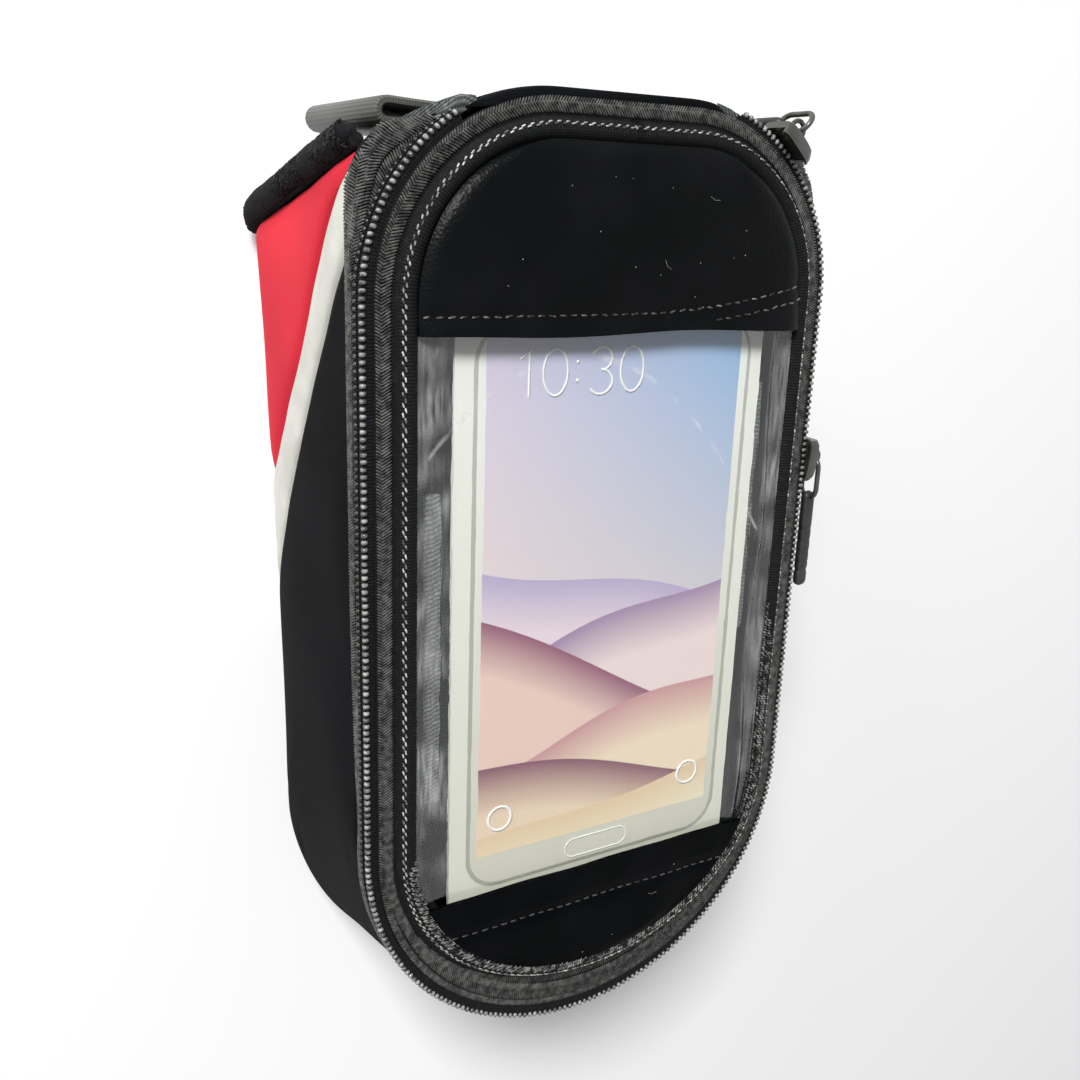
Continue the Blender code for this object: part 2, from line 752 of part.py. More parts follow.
def build_slider(name, carrier):
    """A zip slider: its outer plate, with the crown that holds the pull."""
    plate_low = COIL_PROUD + GAP
    plate_high = plate_low + SLIDER_PLATE
    body = box_object(
        name,
        (-SLIDER_LENGTH / 2, plate_low, -SLIDER_HEIGHT / 2),
        (SLIDER_LENGTH / 2, plate_high, SLIDER_HEIGHT / 2),
        bevel=SLIDER_PLATE * 0.3,
    )
    reach = CROWN_HOLE / 2 + CROWN_POST
    sunk = SLIDER_PLATE / 2
    crown = box_object(
        f"{name}_crown",
        (-reach, plate_high - sunk, -CROWN_WIDTH / 2),
        (reach, plate_high + CROWN_HOLE_HEIGHT + CROWN_BEAM, CROWN_WIDTH / 2),
    )
    hole = box_object(
        f"{name}_crown_hole",
        (-CROWN_HOLE / 2, plate_high, -CROWN_WIDTH),
        (CROWN_HOLE / 2, plate_high + CROWN_HOLE_HEIGHT, CROWN_WIDTH),
    )
    make_cutter(crown, carrier)
    make_cutter(hole, carrier)
    add_boolean(body, crown, "UNION")
    add_boolean(body, hole, "DIFFERENCE")
    link_object(body, "metal", carrier)
    return plate_high


def link_loop():
    """The wire link's path: two straight rails with half-round ends, the first end at the origin."""
    length = LINK_STRAIGHT + 2 * LINK_R
    return [(x + length / 2, y) for x, y in stadium(length, 2 * LINK_R, 6)]


def build_pull(name, carrier, turn):
    """A pull on its carrier: the wire link, and the moulded grip that hangs from it."""
    link = wire_curve(f"{name}_link", [(x, 0, y) for x, y in link_loop()], LINK_WIRE_R, closed=True)
    link_object(link, "metal", carrier)
    hole_x = LINK_STRAIGHT + 2 * LINK_R
    eye = GRIP_THICKNESS / 2
    outer = [(x + hole_x + GRIP_LENGTH / 2 - eye, y) for x, y in stadium(GRIP_LENGTH, GRIP_THICKNESS, 6)]
    grip = flat_curve(f"{name}_grip", [outer, circle(GRIP_HOLE_R, hole_x - GAP / 2, 10)], GRIP_WIDTH)
    link_object(grip, "rubber", carrier)
    for obj in (link, grip):
        obj.matrix_basis = turn


def build_sliders():
    """Both sliders with their pulls. Local X is the zip's run to the nose, and Y points outwards."""
    lower = make_empty(
        "lower_slider_carrier", LID_FRAME, (HALF_WIDTH, LOWER_SLIDER_V, PARTING_W), (0, 0, -math.pi / 2)
    )
    plate_high = build_slider("slider_lower", lower)
    lower_pull = make_empty("lower_pull_axis", lower, (0, plate_high + CROWN_HOLE_HEIGHT / 2, 0))
    build_pull("pull_lower", lower_pull, Matrix.Identity(4))

    centre = Vector((HALF_WIDTH - HEAD_CORNER_R, HALF_LENGTH - HEAD_CORNER_R, PARTING_W))
    turn = UPPER_SLIDER_ANGLE - math.pi / 2
    corner_axis = make_empty("upper_slider_axis", LID_FRAME, centre, (0, 0, turn))
    lift = BOX_COIL_LOW_W + GAP + SLIDER_HEIGHT / 2 - PARTING_W
    upper = make_empty("upper_slider_carrier", corner_axis, (0, HEAD_CORNER_R, lift))
    build_slider("slider_upper", upper)
    beam_y = plate_high + CROWN_HOLE_HEIGHT + CROWN_BEAM / 2
    upper_pull = make_empty("upper_pull_axis", upper, (0, beam_y, 0))
    hang = Matrix(((0, 0, 1, 0), (0, 1, 0, 0), (-1, 0, 0, LINK_R), (0, 0, 0, 1)))
    quarter = Matrix.Rotation(math.pi / 2, 4, "X")
    build_pull("pull_upper", upper_pull, hang @ quarter)


def centre_on_base():
    """Move the bag so that the middle of its box's underside is the origin."""
    bpy.context.view_layer.update()
    graph = bpy.context.evaluated_depsgraph_get()
    corners = []
    for obj in PARTS.objects:
        shape = obj.evaluated_get(graph)
        mesh = shape.to_mesh()
        corners += [shape.matrix_world @ vertex.co for vertex in mesh.vertices]
        shape.to_mesh_clear()
    middle = [(min(c[i] for c in corners) + max(c[i] for c in corners)) / 2 for i in (0, 1)]
    lowest = min(corner.z for corner in corners)
    ORIGIN.location = (-middle[0], -middle[1], -lowest)
    bpy.context.view_layer.update()


clear_scene()
PARTS = make_collection("bike_phone_bag")
CUTTERS = make_collection("cutters")
ORIGIN = make_empty("part_origin", None, (0, 0, 0))
LID_FRAME = make_empty("lid_plane", ORIGIN, (0, 0, BASE_FRAME_Z + DEPTH), (LID_SLOPE, 0, 0))
LID_HINGE = make_empty("lid_hinge_axis", LID_FRAME, HINGE_AXIS)
build_walls()
build_end_panel()
build_base()
build_piping()
build_zip()
build_lid_frame()
build_window()
build_pocket()
build_straps()
build_sliders()
centre_on_base()
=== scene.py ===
"""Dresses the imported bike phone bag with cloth, zip, stitches, window and straps.

Metres, +Z up, in the CAD model's own frame. Most places are given in the lid's frame: u across, v
along towards the hinge end, w out of the lid. A place round an outline is a step count from the
middle of the hinge end, towards -u first, as in the CAD source.
"""

import logging
import math
import random
from collections.abc import Callable, Sequence
from dataclasses import dataclass, field
from enum import Enum

import bmesh
import bpy
from mathutils import Matrix, Vector, noise


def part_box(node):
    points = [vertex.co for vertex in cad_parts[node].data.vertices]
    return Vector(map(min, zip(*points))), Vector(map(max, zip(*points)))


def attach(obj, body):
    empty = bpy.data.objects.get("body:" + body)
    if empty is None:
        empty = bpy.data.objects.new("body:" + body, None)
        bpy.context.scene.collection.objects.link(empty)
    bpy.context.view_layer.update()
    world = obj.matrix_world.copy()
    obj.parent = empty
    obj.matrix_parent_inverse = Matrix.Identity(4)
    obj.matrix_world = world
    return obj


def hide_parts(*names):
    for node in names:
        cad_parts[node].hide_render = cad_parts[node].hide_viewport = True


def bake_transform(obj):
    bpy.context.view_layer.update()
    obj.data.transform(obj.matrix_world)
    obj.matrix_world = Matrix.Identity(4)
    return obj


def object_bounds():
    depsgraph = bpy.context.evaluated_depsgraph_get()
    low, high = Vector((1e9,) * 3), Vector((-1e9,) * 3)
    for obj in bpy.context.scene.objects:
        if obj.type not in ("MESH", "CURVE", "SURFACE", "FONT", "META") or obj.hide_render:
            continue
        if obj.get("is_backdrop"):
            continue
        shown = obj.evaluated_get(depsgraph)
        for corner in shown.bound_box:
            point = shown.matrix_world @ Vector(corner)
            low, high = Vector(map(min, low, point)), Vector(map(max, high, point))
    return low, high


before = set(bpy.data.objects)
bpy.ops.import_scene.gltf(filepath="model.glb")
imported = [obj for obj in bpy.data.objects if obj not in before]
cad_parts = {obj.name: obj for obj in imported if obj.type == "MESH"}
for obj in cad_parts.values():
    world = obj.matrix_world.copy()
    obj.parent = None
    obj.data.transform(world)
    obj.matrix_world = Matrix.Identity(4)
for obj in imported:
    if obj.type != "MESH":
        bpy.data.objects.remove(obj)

LOG = logging.getLogger("bike_phone_bag")
CAD_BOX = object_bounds()

MM = 0.001
LID_SLOPE = math.radians(4.0)
LID_PLACE = Vector((-0.002334, 0.003705, 0.0683))
LID_FRAME = Matrix.Translation(LID_PLACE) @ Matrix.Rotation(LID_SLOPE, 4, "X")

HEAD_STEPS = 2
CORNER_END = 9
SIDE_END = 14
HALF_STEPS = 26
RING_STEPS = 2 * HALF_STEPS

Profile = list[tuple[float, float]]
Grid = list[list[Vector]]


class Body(Enum):
    """The CAD bodies that pieces ride on."""

    BAG = "bag"
    LID = "lid"
    UPPER_SLIDER = "slider_upper"
    UPPER_PULL = "pull_upper"
    LOWER_SLIDER = "slider_lower"
    LOWER_PULL = "pull_lower"


@dataclass(frozen=True)
class BagSizes:
    """The bag's main sizes, as the CAD source has them."""

    half_width: float = 50.0 * MM
    half_length: float = 95.5 * MM
    depth: float = 64.2 * MM
    rake: float = 0.27
    head_corner: float = 36.0 * MM
    nose_widen: float = 6.3 * MM
    wall: float = 4.0 * MM
    wall_inset: float = 0.5 * MM
    box_head_v: float = 89.0 * MM
    corner_top: float = 10.0 * MM
    corner_base: float = 6.0 * MM
    edge_round: float = 7.0 * MM
    parting: float = -5.0 * MM
    wall_top: float = -9.05 * MM
    piping: float = 2.4 * MM
    coil_depth: float = 1.8 * MM
    binding_inset: float = 5.5 * MM
    rim_inset: float = 4.9 * MM
    panel_inset: float = 8.8 * MM
    gap: float = 0.3 * MM


SIZES = BagSizes()
CORNER_SEAM = HEAD_STEPS + (CORNER_END - HEAD_STEPS) / 2
ZIP_LEFT = 4.48
ZIP_RIGHT = RING_STEPS - 3.62


def outline_point(
    steps: float, half: float, tip: float, nose: float, head: float, corner_u: float, corner_v: float
) -> tuple[float, float]:
    """The point at a step count round an outline.

    Args:
        steps: Place round the outline.
        half: Half of the outline's width.
        tip: v of the nose's tip.
        nose: v where the round nose starts.
        head: v of the hinge end.
        corner_u: Head corners' radius across the bag.
        corner_v: Head corners' radius along the bag.

    Returns:
        The point's u and v.
    """
    steps %= RING_STEPS
    mirrored = steps > HALF_STEPS
    if mirrored:
        steps = RING_STEPS - steps
    flat = half - corner_u
    if steps < HEAD_STEPS:
        u, v = -flat * steps / HEAD_STEPS, head
    elif steps < CORNER_END:
        angle = math.pi / 2 * (1 - (steps - HEAD_STEPS) / (CORNER_END - HEAD_STEPS))
        u, v = -flat - corner_u * math.cos(angle), head - corner_v * (1 - math.sin(angle))
    elif steps < SIDE_END:
        share = (steps - CORNER_END) / (SIDE_END - CORNER_END)
        u, v = -half, head - corner_v + (nose - head + corner_v) * share
    else:
        angle = math.pi / 2 * (steps - SIDE_END) / (HALF_STEPS - SIDE_END)
        u, v = -half * math.cos(angle), nose - (nose - tip) * math.sin(angle)
    return (-u if mirrored else u), v


def lid_point(steps: float, inset: float, w: float, head_extra: float = 0.0) -> Vector:
    """A point of the lid, an inset inside the closed zip's outline and wider in at the nose."""
    reach = SIZES.coil_depth - 0.6 * MM
    share = min(1.0, max(0.0, (inset - reach) / (SIZES.binding_inset - reach)))
    nose = SIZES.half_width - SIZES.half_length
    u, v = outline_point(
        steps,
        SIZES.half_width - inset,
        -SIZES.half_length + inset + SIZES.nose_widen * share,
        nose,
        SIZES.half_length - inset - head_extra,
        SIZES.head_corner - inset,
        SIZES.head_corner - inset - head_extra,
    )
    return Vector((u, v, w))


def box_point(steps: float, inset: float, w: float) -> Vector:
    """A point of the box's walls, which rake towards the nose as they go down."""
    drop = SIZES.parting - w
    shift = SIZES.rake * drop
    share = min(1.0, max(0.0, drop / SIZES.depth))
    corner = SIZES.corner_top + (SIZES.corner_base - SIZES.corner_top) * share
    corner = max(corner - inset, SIZES.corner_base / 8)
    u, v = outline_point(
        steps,
        SIZES.half_width - SIZES.wall_inset - inset,
        -SIZES.half_length + SIZES.wall_inset + inset - shift,
        SIZES.half_width - SIZES.half_length - shift,
        SIZES.box_head_v - inset - shift,
        corner,
        corner,
    )
    return Vector((u, v, w))


def wall_point_at(steps: float, inset: float, height: float) -> Vector:
    """A point of the walls at a height over the base's underside."""
    w = -SIZES.depth
    for _ in range(8):
        v = box_point(steps, inset, w).y
        w = (height - SIZES.depth - v * math.sin(LID_SLOPE)) / math.cos(LID_SLOPE)
    return box_point(steps, inset, w)


def wall_surface(steps: float, share: float, deep: float) -> Vector:
    """A point of the wall: share 0 to 1 runs down it, 1 to 2 round its lower edge.

    Args:
        steps: Place round the outline.
        share: How far down the wall.
        deep: Depth under the outer face.

    Returns:
        The point in the lid's frame.
    """
    if share <= 1:
        edge = wall_point_at(steps, deep, SIZES.edge_round)
        return box_point(steps, deep, SIZES.wall_top + (edge.z - SIZES.wall_top) * share)
    angle = math.pi / 2 * (share - 1)
    radius = SIZES.edge_round - deep
    inset = deep + radius * (1 - math.cos(angle))
    return wall_point_at(steps, inset, SIZES.edge_round - radius * math.sin(angle))


class RunTable:
    """Turns step counts into distances round the zip's outline, and back."""

    def __init__(self, fineness: int = 40) -> None:
        """Measure the outline once."""
        self.steps = [index / fineness for index in range(RING_STEPS * fineness + 1)]
        points = [lid_point(step, 0, 0) for step in self.steps]
        self.runs = [0.0]
        for first, second in zip(points, points[1:]):
            self.runs.append(self.runs[-1] + (second - first).length)
        self.fineness = fineness

    def run(self, step: float) -> float:
        """Distance from the middle of the hinge end."""
        turns, rest = divmod(step, RING_STEPS)
        index = min(int(rest * self.fineness), len(self.runs) - 2)
        share = rest * self.fineness - index
        return turns * self.runs[-1] + self.runs[index] + share * (self.runs[index + 1] - self.runs[index])

    def step(self, run: float) -> float:
        """Step count at a distance."""
        turns, rest = divmod(run, self.runs[-1])
        low, high = 0, len(self.runs) - 1
        while high - low > 1:
            middle = (low + high) // 2
            low, high = (middle, high) if self.runs[middle] <= rest else (low, middle)
        share = (rest - self.runs[low]) / (self.runs[high] - self.runs[low])
        return turns * RING_STEPS + self.steps[low] + share * (self.steps[high] - self.steps[low])

    def even(self, first: float, last: float, spacing: float) -> list[float]:
        """Step counts an even distance apart from first to last."""
        start, end = self.run(first), self.run(last)
        count = max(2, math.ceil((end - start) / spacing))
        return [self.step(start + (end - start) * index / count) for index in range(count + 1)]


RUNS = RunTable()


def srgb(code: str) -> tuple[float, float, float, float]:
    """An sRGB hex colour as a linear colour with alpha 1."""
    parts = [int(code[index : index + 2], 16) / 255 for index in (1, 3, 5)]
    linear = [part / 12.92 if part <= 0.04045 else ((part + 0.055) / 1.055) ** 2.4 for part in parts]
    return (*linear, 1.0)


def add_node(tree: bpy.types.NodeTree, kind: str, inputs: dict | None = None, **settings: object) -> bpy.types.Node:
    """Add one node.

    Args:
        tree: The tree that it goes into.
        kind: Blender's name for the node's type.
        inputs: Values or output sockets by input name or number.
        settings: The node's own settings.

    Returns:
        The new node.
    """
    made = tree.nodes.new(kind)
    for name, value in settings.items():
        setattr(made, name, value)
    for key, value in (inputs or {}).items():
        if isinstance(value, bpy.types.NodeSocket):
            tree.links.new(value, made.inputs[key])
        else:
            made.inputs[key].default_value = value
    return made


def work_out(tree: bpy.types.NodeTree, operation: str, *values: object) -> bpy.types.NodeSocket:
    """The output of one Math node on numbers or sockets."""
    made = add_node(tree, "ShaderNodeMath", dict(enumerate(values)), operation=operation)
    return made.outputs[0]


def mix_colours(tree: bpy.types.NodeTree, share: object, low: object, high: object) -> bpy.types.NodeSocket:
    """The colour between two, by a share."""
    made = add_node(tree, "ShaderNodeMix", {0: share, 6: low, 7: high}, data_type="RGBA")
    return made.outputs[2]


def spread(tree: bpy.types.NodeTree, value: object, low: object, high: object) -> bpy.types.NodeSocket:
    """A value as a clamped share of the way from low to high."""
    made = add_node(tree, "ShaderNodeMapRange", {0: value, 1: low, 2: high}, clamp=True)
    return made.outputs[0]


@dataclass(frozen=True)
class Finish:
    """A material that is made once and then shared. Patterns read the piece's UV map, in metres."""

    name: str
    roughness: float = 0.6

    def material(self) -> bpy.types.Material:
        """The finish's material, made on first use."""
        found = bpy.data.materials.get(self.name)
        if found:
            return found
        made = bpy.data.materials.new(self.name)
        made.use_nodes = True
        shader = made.node_tree.nodes["Principled BSDF"]
        shader.inputs["Roughness"].default_value = self.roughness
        self.paint(made.node_tree, shader)
        return made

    def paint(self, tree: bpy.types.NodeTree, shader: bpy.types.Node) -> None:
        """Add the finish's own nodes."""
        raise NotImplementedError

    @staticmethod
    def place(tree: bpy.types.NodeTree) -> tuple[bpy.types.NodeSocket, bpy.types.NodeSocket, bpy.types.NodeSocket]:
        """The UV map as a vector, and its u and v."""
        vector = add_node(tree, "ShaderNodeTexCoord").outputs["UV"]
        parts = add_node(tree, "ShaderNodeSeparateXYZ", {0: vector})
        return vector, parts.outputs[0], parts.outputs[1]

    @staticmethod
    def grain(tree: bpy.types.NodeTree, size: float, detail: float = 3.0) -> bpy.types.NodeSocket:
        """Noise with features of a size in metres, on object coordinates."""
        vector = add_node(tree, "ShaderNodeTexCoord").outputs["Object"]
        inputs = {"Vector": vector, "Scale": 1 / size, "Detail": detail}
        return add_node(tree, "ShaderNodeTexNoise", inputs).outputs[0]

    @staticmethod
    def raise_by(
        tree: bpy.types.NodeTree, shader: bpy.types.Node, height: object, distance: float, strength: float = 1.0
    ) -> None:
        """Drive the shader's normal from a height."""
        bump = add_node(tree, "ShaderNodeBump", {"Height": height, "Distance": distance, "Strength": strength})
        tree.links.new(bump.outputs[0], shader.inputs["Normal"])


@dataclass(frozen=True)
class OxfordCloth(Finish):
    """Coated polyester oxford cloth in a plain weave, woven and dyed: a fine grid with a dull sheen."""

    deep: str = "#050608"
    light: str = "#17181b"
    thread: float = 0.62 * MM
    relief: float = 0.09 * MM
    sheen: float = 0.03
    specular: float = 0.05
    patch: float = 30 * MM

    def paint(self, tree: bpy.types.NodeTree, shader: bpy.types.Node) -> None:
        """Weave from two crossed sines, broken by slubs and slow random fading; the weave is painted as light and
        shade.
        """
        _, u, v = self.place(tree)
        slub = self.grain(tree, 1.8 * MM)
        turn = 2 * math.pi / self.thread
        wander = work_out(tree, "MULTIPLY", slub, 1.6)
        across = work_out(tree, "SINE", work_out(tree, "ADD", work_out(tree, "MULTIPLY", u, turn), wander))
        along = work_out(tree, "SINE", work_out(tree, "ADD", work_out(tree, "MULTIPLY", v, turn), wander))
        weave = work_out(tree, "MULTIPLY_ADD", work_out(tree, "MULTIPLY", across, along), 0.5, 0.5)
        fade = spread(tree, self.grain(tree, self.patch, 1.0), 0.35, 0.65)
        share = work_out(
            tree, "MULTIPLY", work_out(tree, "MULTIPLY_ADD", weave, 0.65, 0.15), work_out(tree, "ADD", fade, 0.35)
        )
        # The colour follows the weave's height: painted highlight on the raised threads and painted shade in the gaps,
        # under a slow random fade.
        tree.links.new(mix_colours(tree, share, srgb(self.deep), srgb(self.light)), shader.inputs["Base Color"])
        shader.inputs["Sheen Weight"].default_value = self.sheen
        shader.inputs["Sheen Roughness"].default_value = 0.4
        shader.inputs["Specular IOR Level"].default_value = self.specular
        self.raise_by(tree, shader, work_out(tree, "MULTIPLY_ADD", slub, 0.5, weave), self.relief)


@dataclass(frozen=True)
class ReflectiveTape(Finish):
    """Retroreflective tape: glass beads in a pale grey resin on cloth, smooth, with faint creases."""

    roughness: float = 0.42

    def paint(self, tree: bpy.types.NodeTree, shader: bpy.types.Node) -> None:
        """Pale grey with mottling and a fine bead grain."""
        mottle = spread(tree, self.grain(tree, 9 * MM), 0.3, 0.7)
        tree.links.new(mix_colours(tree, mottle, srgb("#b4b4ac"), srgb("#cbcbc4")), shader.inputs["Base Color"])
        shader.inputs["Specular IOR Level"].default_value = 0.4
        self.raise_by(tree, shader, self.grain(tree, 0.5 * MM), 0.05 * MM)


@dataclass(frozen=True)
class RibbedTape(Finish):
    """Woven nylon tape: close ribs across its run, with painted highlights where the yarn stands up and painted shade
    between the ribs.
    """

    deep: str = "#101112"
    light: str = "#4a4b49"
    rib: float = 0.7 * MM
    slant: float = 0.0
    relief: float = 0.12 * MM
    speck: float = 0.6
    specular: float = 0.1

    def paint(self, tree: bpy.types.NodeTree, shader: bpy.types.Node) -> None:
        """Ribs from a sine of the run, slanted if wanted, and a thread grain."""
        _, u, v = self.place(tree)
        lean = work_out(tree, "MULTIPLY_ADD", v, self.slant, u)
        rib = work_out(tree, "SINE", work_out(tree, "MULTIPLY", lean, 2 * math.pi / self.rib))
        thread = work_out(tree, "SINE", work_out(tree, "MULTIPLY", v, 2 * math.pi / (self.rib * 0.8)))
        height = work_out(tree, "MULTIPLY_ADD", work_out(tree, "MULTIPLY_ADD", thread, 0.4, rib), 0.35, 0.5)
        lint = spread(tree, self.grain(tree, 1.1 * MM), 0.5, 0.72)
        # The colour follows the ribs' height: painted highlight on their crests, painted shade between them, broken by
        # random lint.
        share = work_out(tree, "MULTIPLY", height, work_out(tree, "MULTIPLY_ADD", lint, self.speck, 0.4))
        tree.links.new(mix_colours(tree, share, srgb(self.deep), srgb(self.light)), shader.inputs["Base Color"])
        shader.inputs["Specular IOR Level"].default_value = self.specular
        self.raise_by(tree, shader, height, self.relief)


@dataclass(frozen=True)
class Yarn(Finish):
    """Spun polyester thread, slightly glossy: random lengths are painted lighter as glints, over the yarns' own tone
    that varies at random.
    """

    roughness: float = 0.42
    deep: str = "#3a3b3c"
    light: str = "#b9b9b1"
    glint_from: float = 0.36
    glint_to: float = 0.66
    specular: float = 0.25

    def paint(self, tree: bpy.types.NodeTree, shader: bpy.types.Node) -> None:
        """Painted glints: random light and dark lengths, with a fine twist."""
        share = spread(tree, self.grain(tree, 1.3 * MM, 1.0), self.glint_from, self.glint_to)
        tree.links.new(mix_colours(tree, share, srgb(self.deep), srgb(self.light)), shader.inputs["Base Color"])
        shader.inputs["Specular IOR Level"].default_value = self.specular
        self.raise_by(tree, shader, self.grain(tree, 0.25 * MM), 0.04 * MM)


@dataclass(frozen=True)
class Leatherette(Finish):
    """PVC leatherette, calendered with a fine pebble grain: deep black with a broad soft gloss."""

    roughness: float = 0.34
    deep: str = "#030405"
    light: str = "#0c0d0f"
    pebble: float = 0.55 * MM
    relief: float = 0.05 * MM
    specular: float = 0.14

    def paint(self, tree: bpy.types.NodeTree, shader: bpy.types.Node) -> None:
        """Pebbles from cells, shallow creases and a scuffed, duller patch here and there."""
        vector = add_node(tree, "ShaderNodeTexCoord").outputs["Object"]
        cells = add_node(tree, "ShaderNodeTexVoronoi", {"Vector": vector, "Scale": 1 / self.pebble})
        scuff = spread(tree, self.grain(tree, 14 * MM), 0.42, 0.7)
        tree.links.new(mix_colours(tree, scuff, srgb(self.deep), srgb(self.light)), shader.inputs["Base Color"])
        rough = add_node(tree, "ShaderNodeMapRange", {0: scuff, 3: self.roughness, 4: self.roughness + 0.12})
        tree.links.new(rough.outputs[0], shader.inputs["Roughness"])
        shader.inputs["Specular IOR Level"].default_value = self.specular
        crease = work_out(tree, "MULTIPLY", self.grain(tree, 5 * MM), 2.5)
        self.raise_by(tree, shader, work_out(tree, "ADD", cells.outputs[0], crease), self.relief)


@dataclass(frozen=True)
class ClearFilm(Finish):
    """Soft clear PVC sheet: glass-clear, glossy, with faint waves and painted glare: pale streaks that stand in for
    reflections.
    """

    roughness: float = 0.05
    glare_strength: float = 0.22

    def wear_and_painted_glare(self, tree: bpy.types.NodeTree, streak: bpy.types.NodeSocket) -> bpy.types.NodeSocket:
        """Where glare is painted on the sheet: streaks down both edges, and thin curved glare lines near its top."""
        _, u, v = self.place(tree)
        left = spread(tree, u, -33.2 * MM, -36.5 * MM)
        right = spread(tree, u, 35.6 * MM, 38.2 * MM)
        patch = spread(tree, self.grain(tree, 12 * MM, 1.0), 0.40, 0.60)
        edges = work_out(tree, "MULTIPLY", work_out(tree, "MAXIMUM", left, right), patch)
        moved = work_out(tree, "ADD", u, 9 * MM)
        bend = work_out(tree, "MULTIPLY", work_out(tree, "MULTIPLY", moved, moved), 1 / (55 * MM))
        crest = work_out(tree, "SUBTRACT", work_out(tree, "ADD", bend, v), 49.5 * MM)
        line = spread(tree, work_out(tree, "ABSOLUTE", crest), 0.9 * MM, 0.1 * MM)
        thin = work_out(tree, "MULTIPLY", line, spread(tree, self.grain(tree, 5 * MM, 1.0), 0.45, 0.62))
        both = work_out(tree, "MAXIMUM", work_out(tree, "MULTIPLY", edges, spread(tree, streak, 0.3, 0.7)), thin)
        return work_out(tree, "MULTIPLY", both, self.glare_strength)

    def paint(self, tree: bpy.types.NodeTree, shader: bpy.types.Node) -> None:
        """A transmitting sheet that lets shadow rays through, with waves in its gloss."""
        shader.inputs["Base Color"].default_value = srgb("#f7f9f9")
        shader.inputs["Transmission Weight"].default_value = 1.0
        shader.inputs["IOR"].default_value = 1.45
        streak = add_node(
            tree,
            "ShaderNodeTexNoise",
            {
                "Vector": add_node(
                    tree,
                    "ShaderNodeMapping",
                    {"Vector": self.place(tree)[0], "Scale": (240.0, 26.0, 1.0)},
                ).outputs[0],
                "Detail": 2.0,
            },
        ).outputs[0]
        self.raise_by(tree, shader, streak, 0.12 * MM, 0.5)
        clear = add_node(tree, "ShaderNodeBsdfTransparent", {"Color": srgb("#fafbfa")})
        path = add_node(tree, "ShaderNodeLightPath")
        shadow = work_out(tree, "MAXIMUM", path.outputs["Is Shadow Ray"], path.outputs["Is Diffuse Ray"])
        # A pale diffuse white mixed in by the mask: painted glare, not a real milkiness of the sheet.
        painted_glare_white = add_node(tree, "ShaderNodeBsdfDiffuse", {"Color": srgb("#e2e3e2")})
        with_painted_glare = add_node(
            tree, "ShaderNodeMixShader", {0: self.wear_and_painted_glare(tree, streak), 1: shader.outputs[0], 2: painted_glare_white.outputs[0]}
        )
        mixed = add_node(tree, "ShaderNodeMixShader", {0: shadow, 1: with_painted_glare.outputs[0], 2: clear.outputs[0]})
        tree.links.new(mixed.outputs[0], tree.nodes["Material Output"].inputs["Surface"])


@dataclass(frozen=True)
class MouldedPlastic(Finish):
    """Injection-moulded or extruded nylon or PVC: even, with a slight pull-mark grain."""

    roughness: float = 0.35
    colour: str = "#151617"
    metallic: float = 0.0
    specular: float = 0.5
    grain_size: float = 0.8 * MM

    def paint(self, tree: bpy.types.NodeTree, shader: bpy.types.Node) -> None:
        """One colour with a paler, worn variation."""
        worn = spread(tree, self.grain(tree, 3 * MM), 0.4, 0.75)
        base = srgb(self.colour)
        wear_and_painted_glare = tuple(min(1.0, part * 1.9 + 0.01) for part in base[:3]) + (1.0,)
        tree.links.new(mix_colours(tree, worn, base, wear_and_painted_glare), shader.inputs["Base Color"])
        shader.inputs["Metallic"].default_value = self.metallic
        shader.inputs["Specular IOR Level"].default_value = self.specular
        self.raise_by(tree, shader, self.grain(tree, self.grain_size), 0.03 * MM)


@dataclass(frozen=True)
class GlossCard(Finish):
    """Coated white card, offset-printed: smooth with a low sheen, and painted shade that darkens it slowly towards its
    foot.
    """

    roughness: float = 0.4
    top: str = "#f1f0ea"
    foot: str = "#dcdacb"

    def paint(self, tree: bpy.types.NodeTree, shader: bpy.types.Node) -> None:
        """Painted shade: a slow darkening along the card from its top to its foot."""
        _, _, v = self.place(tree)
        share = spread(tree, v, -58 * MM, 58 * MM)
        mottle = work_out(tree, "MULTIPLY_ADD", self.grain(tree, 12 * MM), 0.14, -0.07)
        level = work_out(tree, "ADD", share, mottle)
        tree.links.new(mix_colours(tree, level, srgb(self.foot), srgb(self.top)), shader.inputs["Base Color"])
        shader.inputs["Specular IOR Level"].default_value = 0.3


@dataclass(frozen=True)
class Dune:
    """One printed dune: its crest's height at u 0, slope, waves, and its colours at crest and foot."""

    crest: float
    slope: float
    wave: float
    turns: float
    start: float
    colour: str
    foot: str


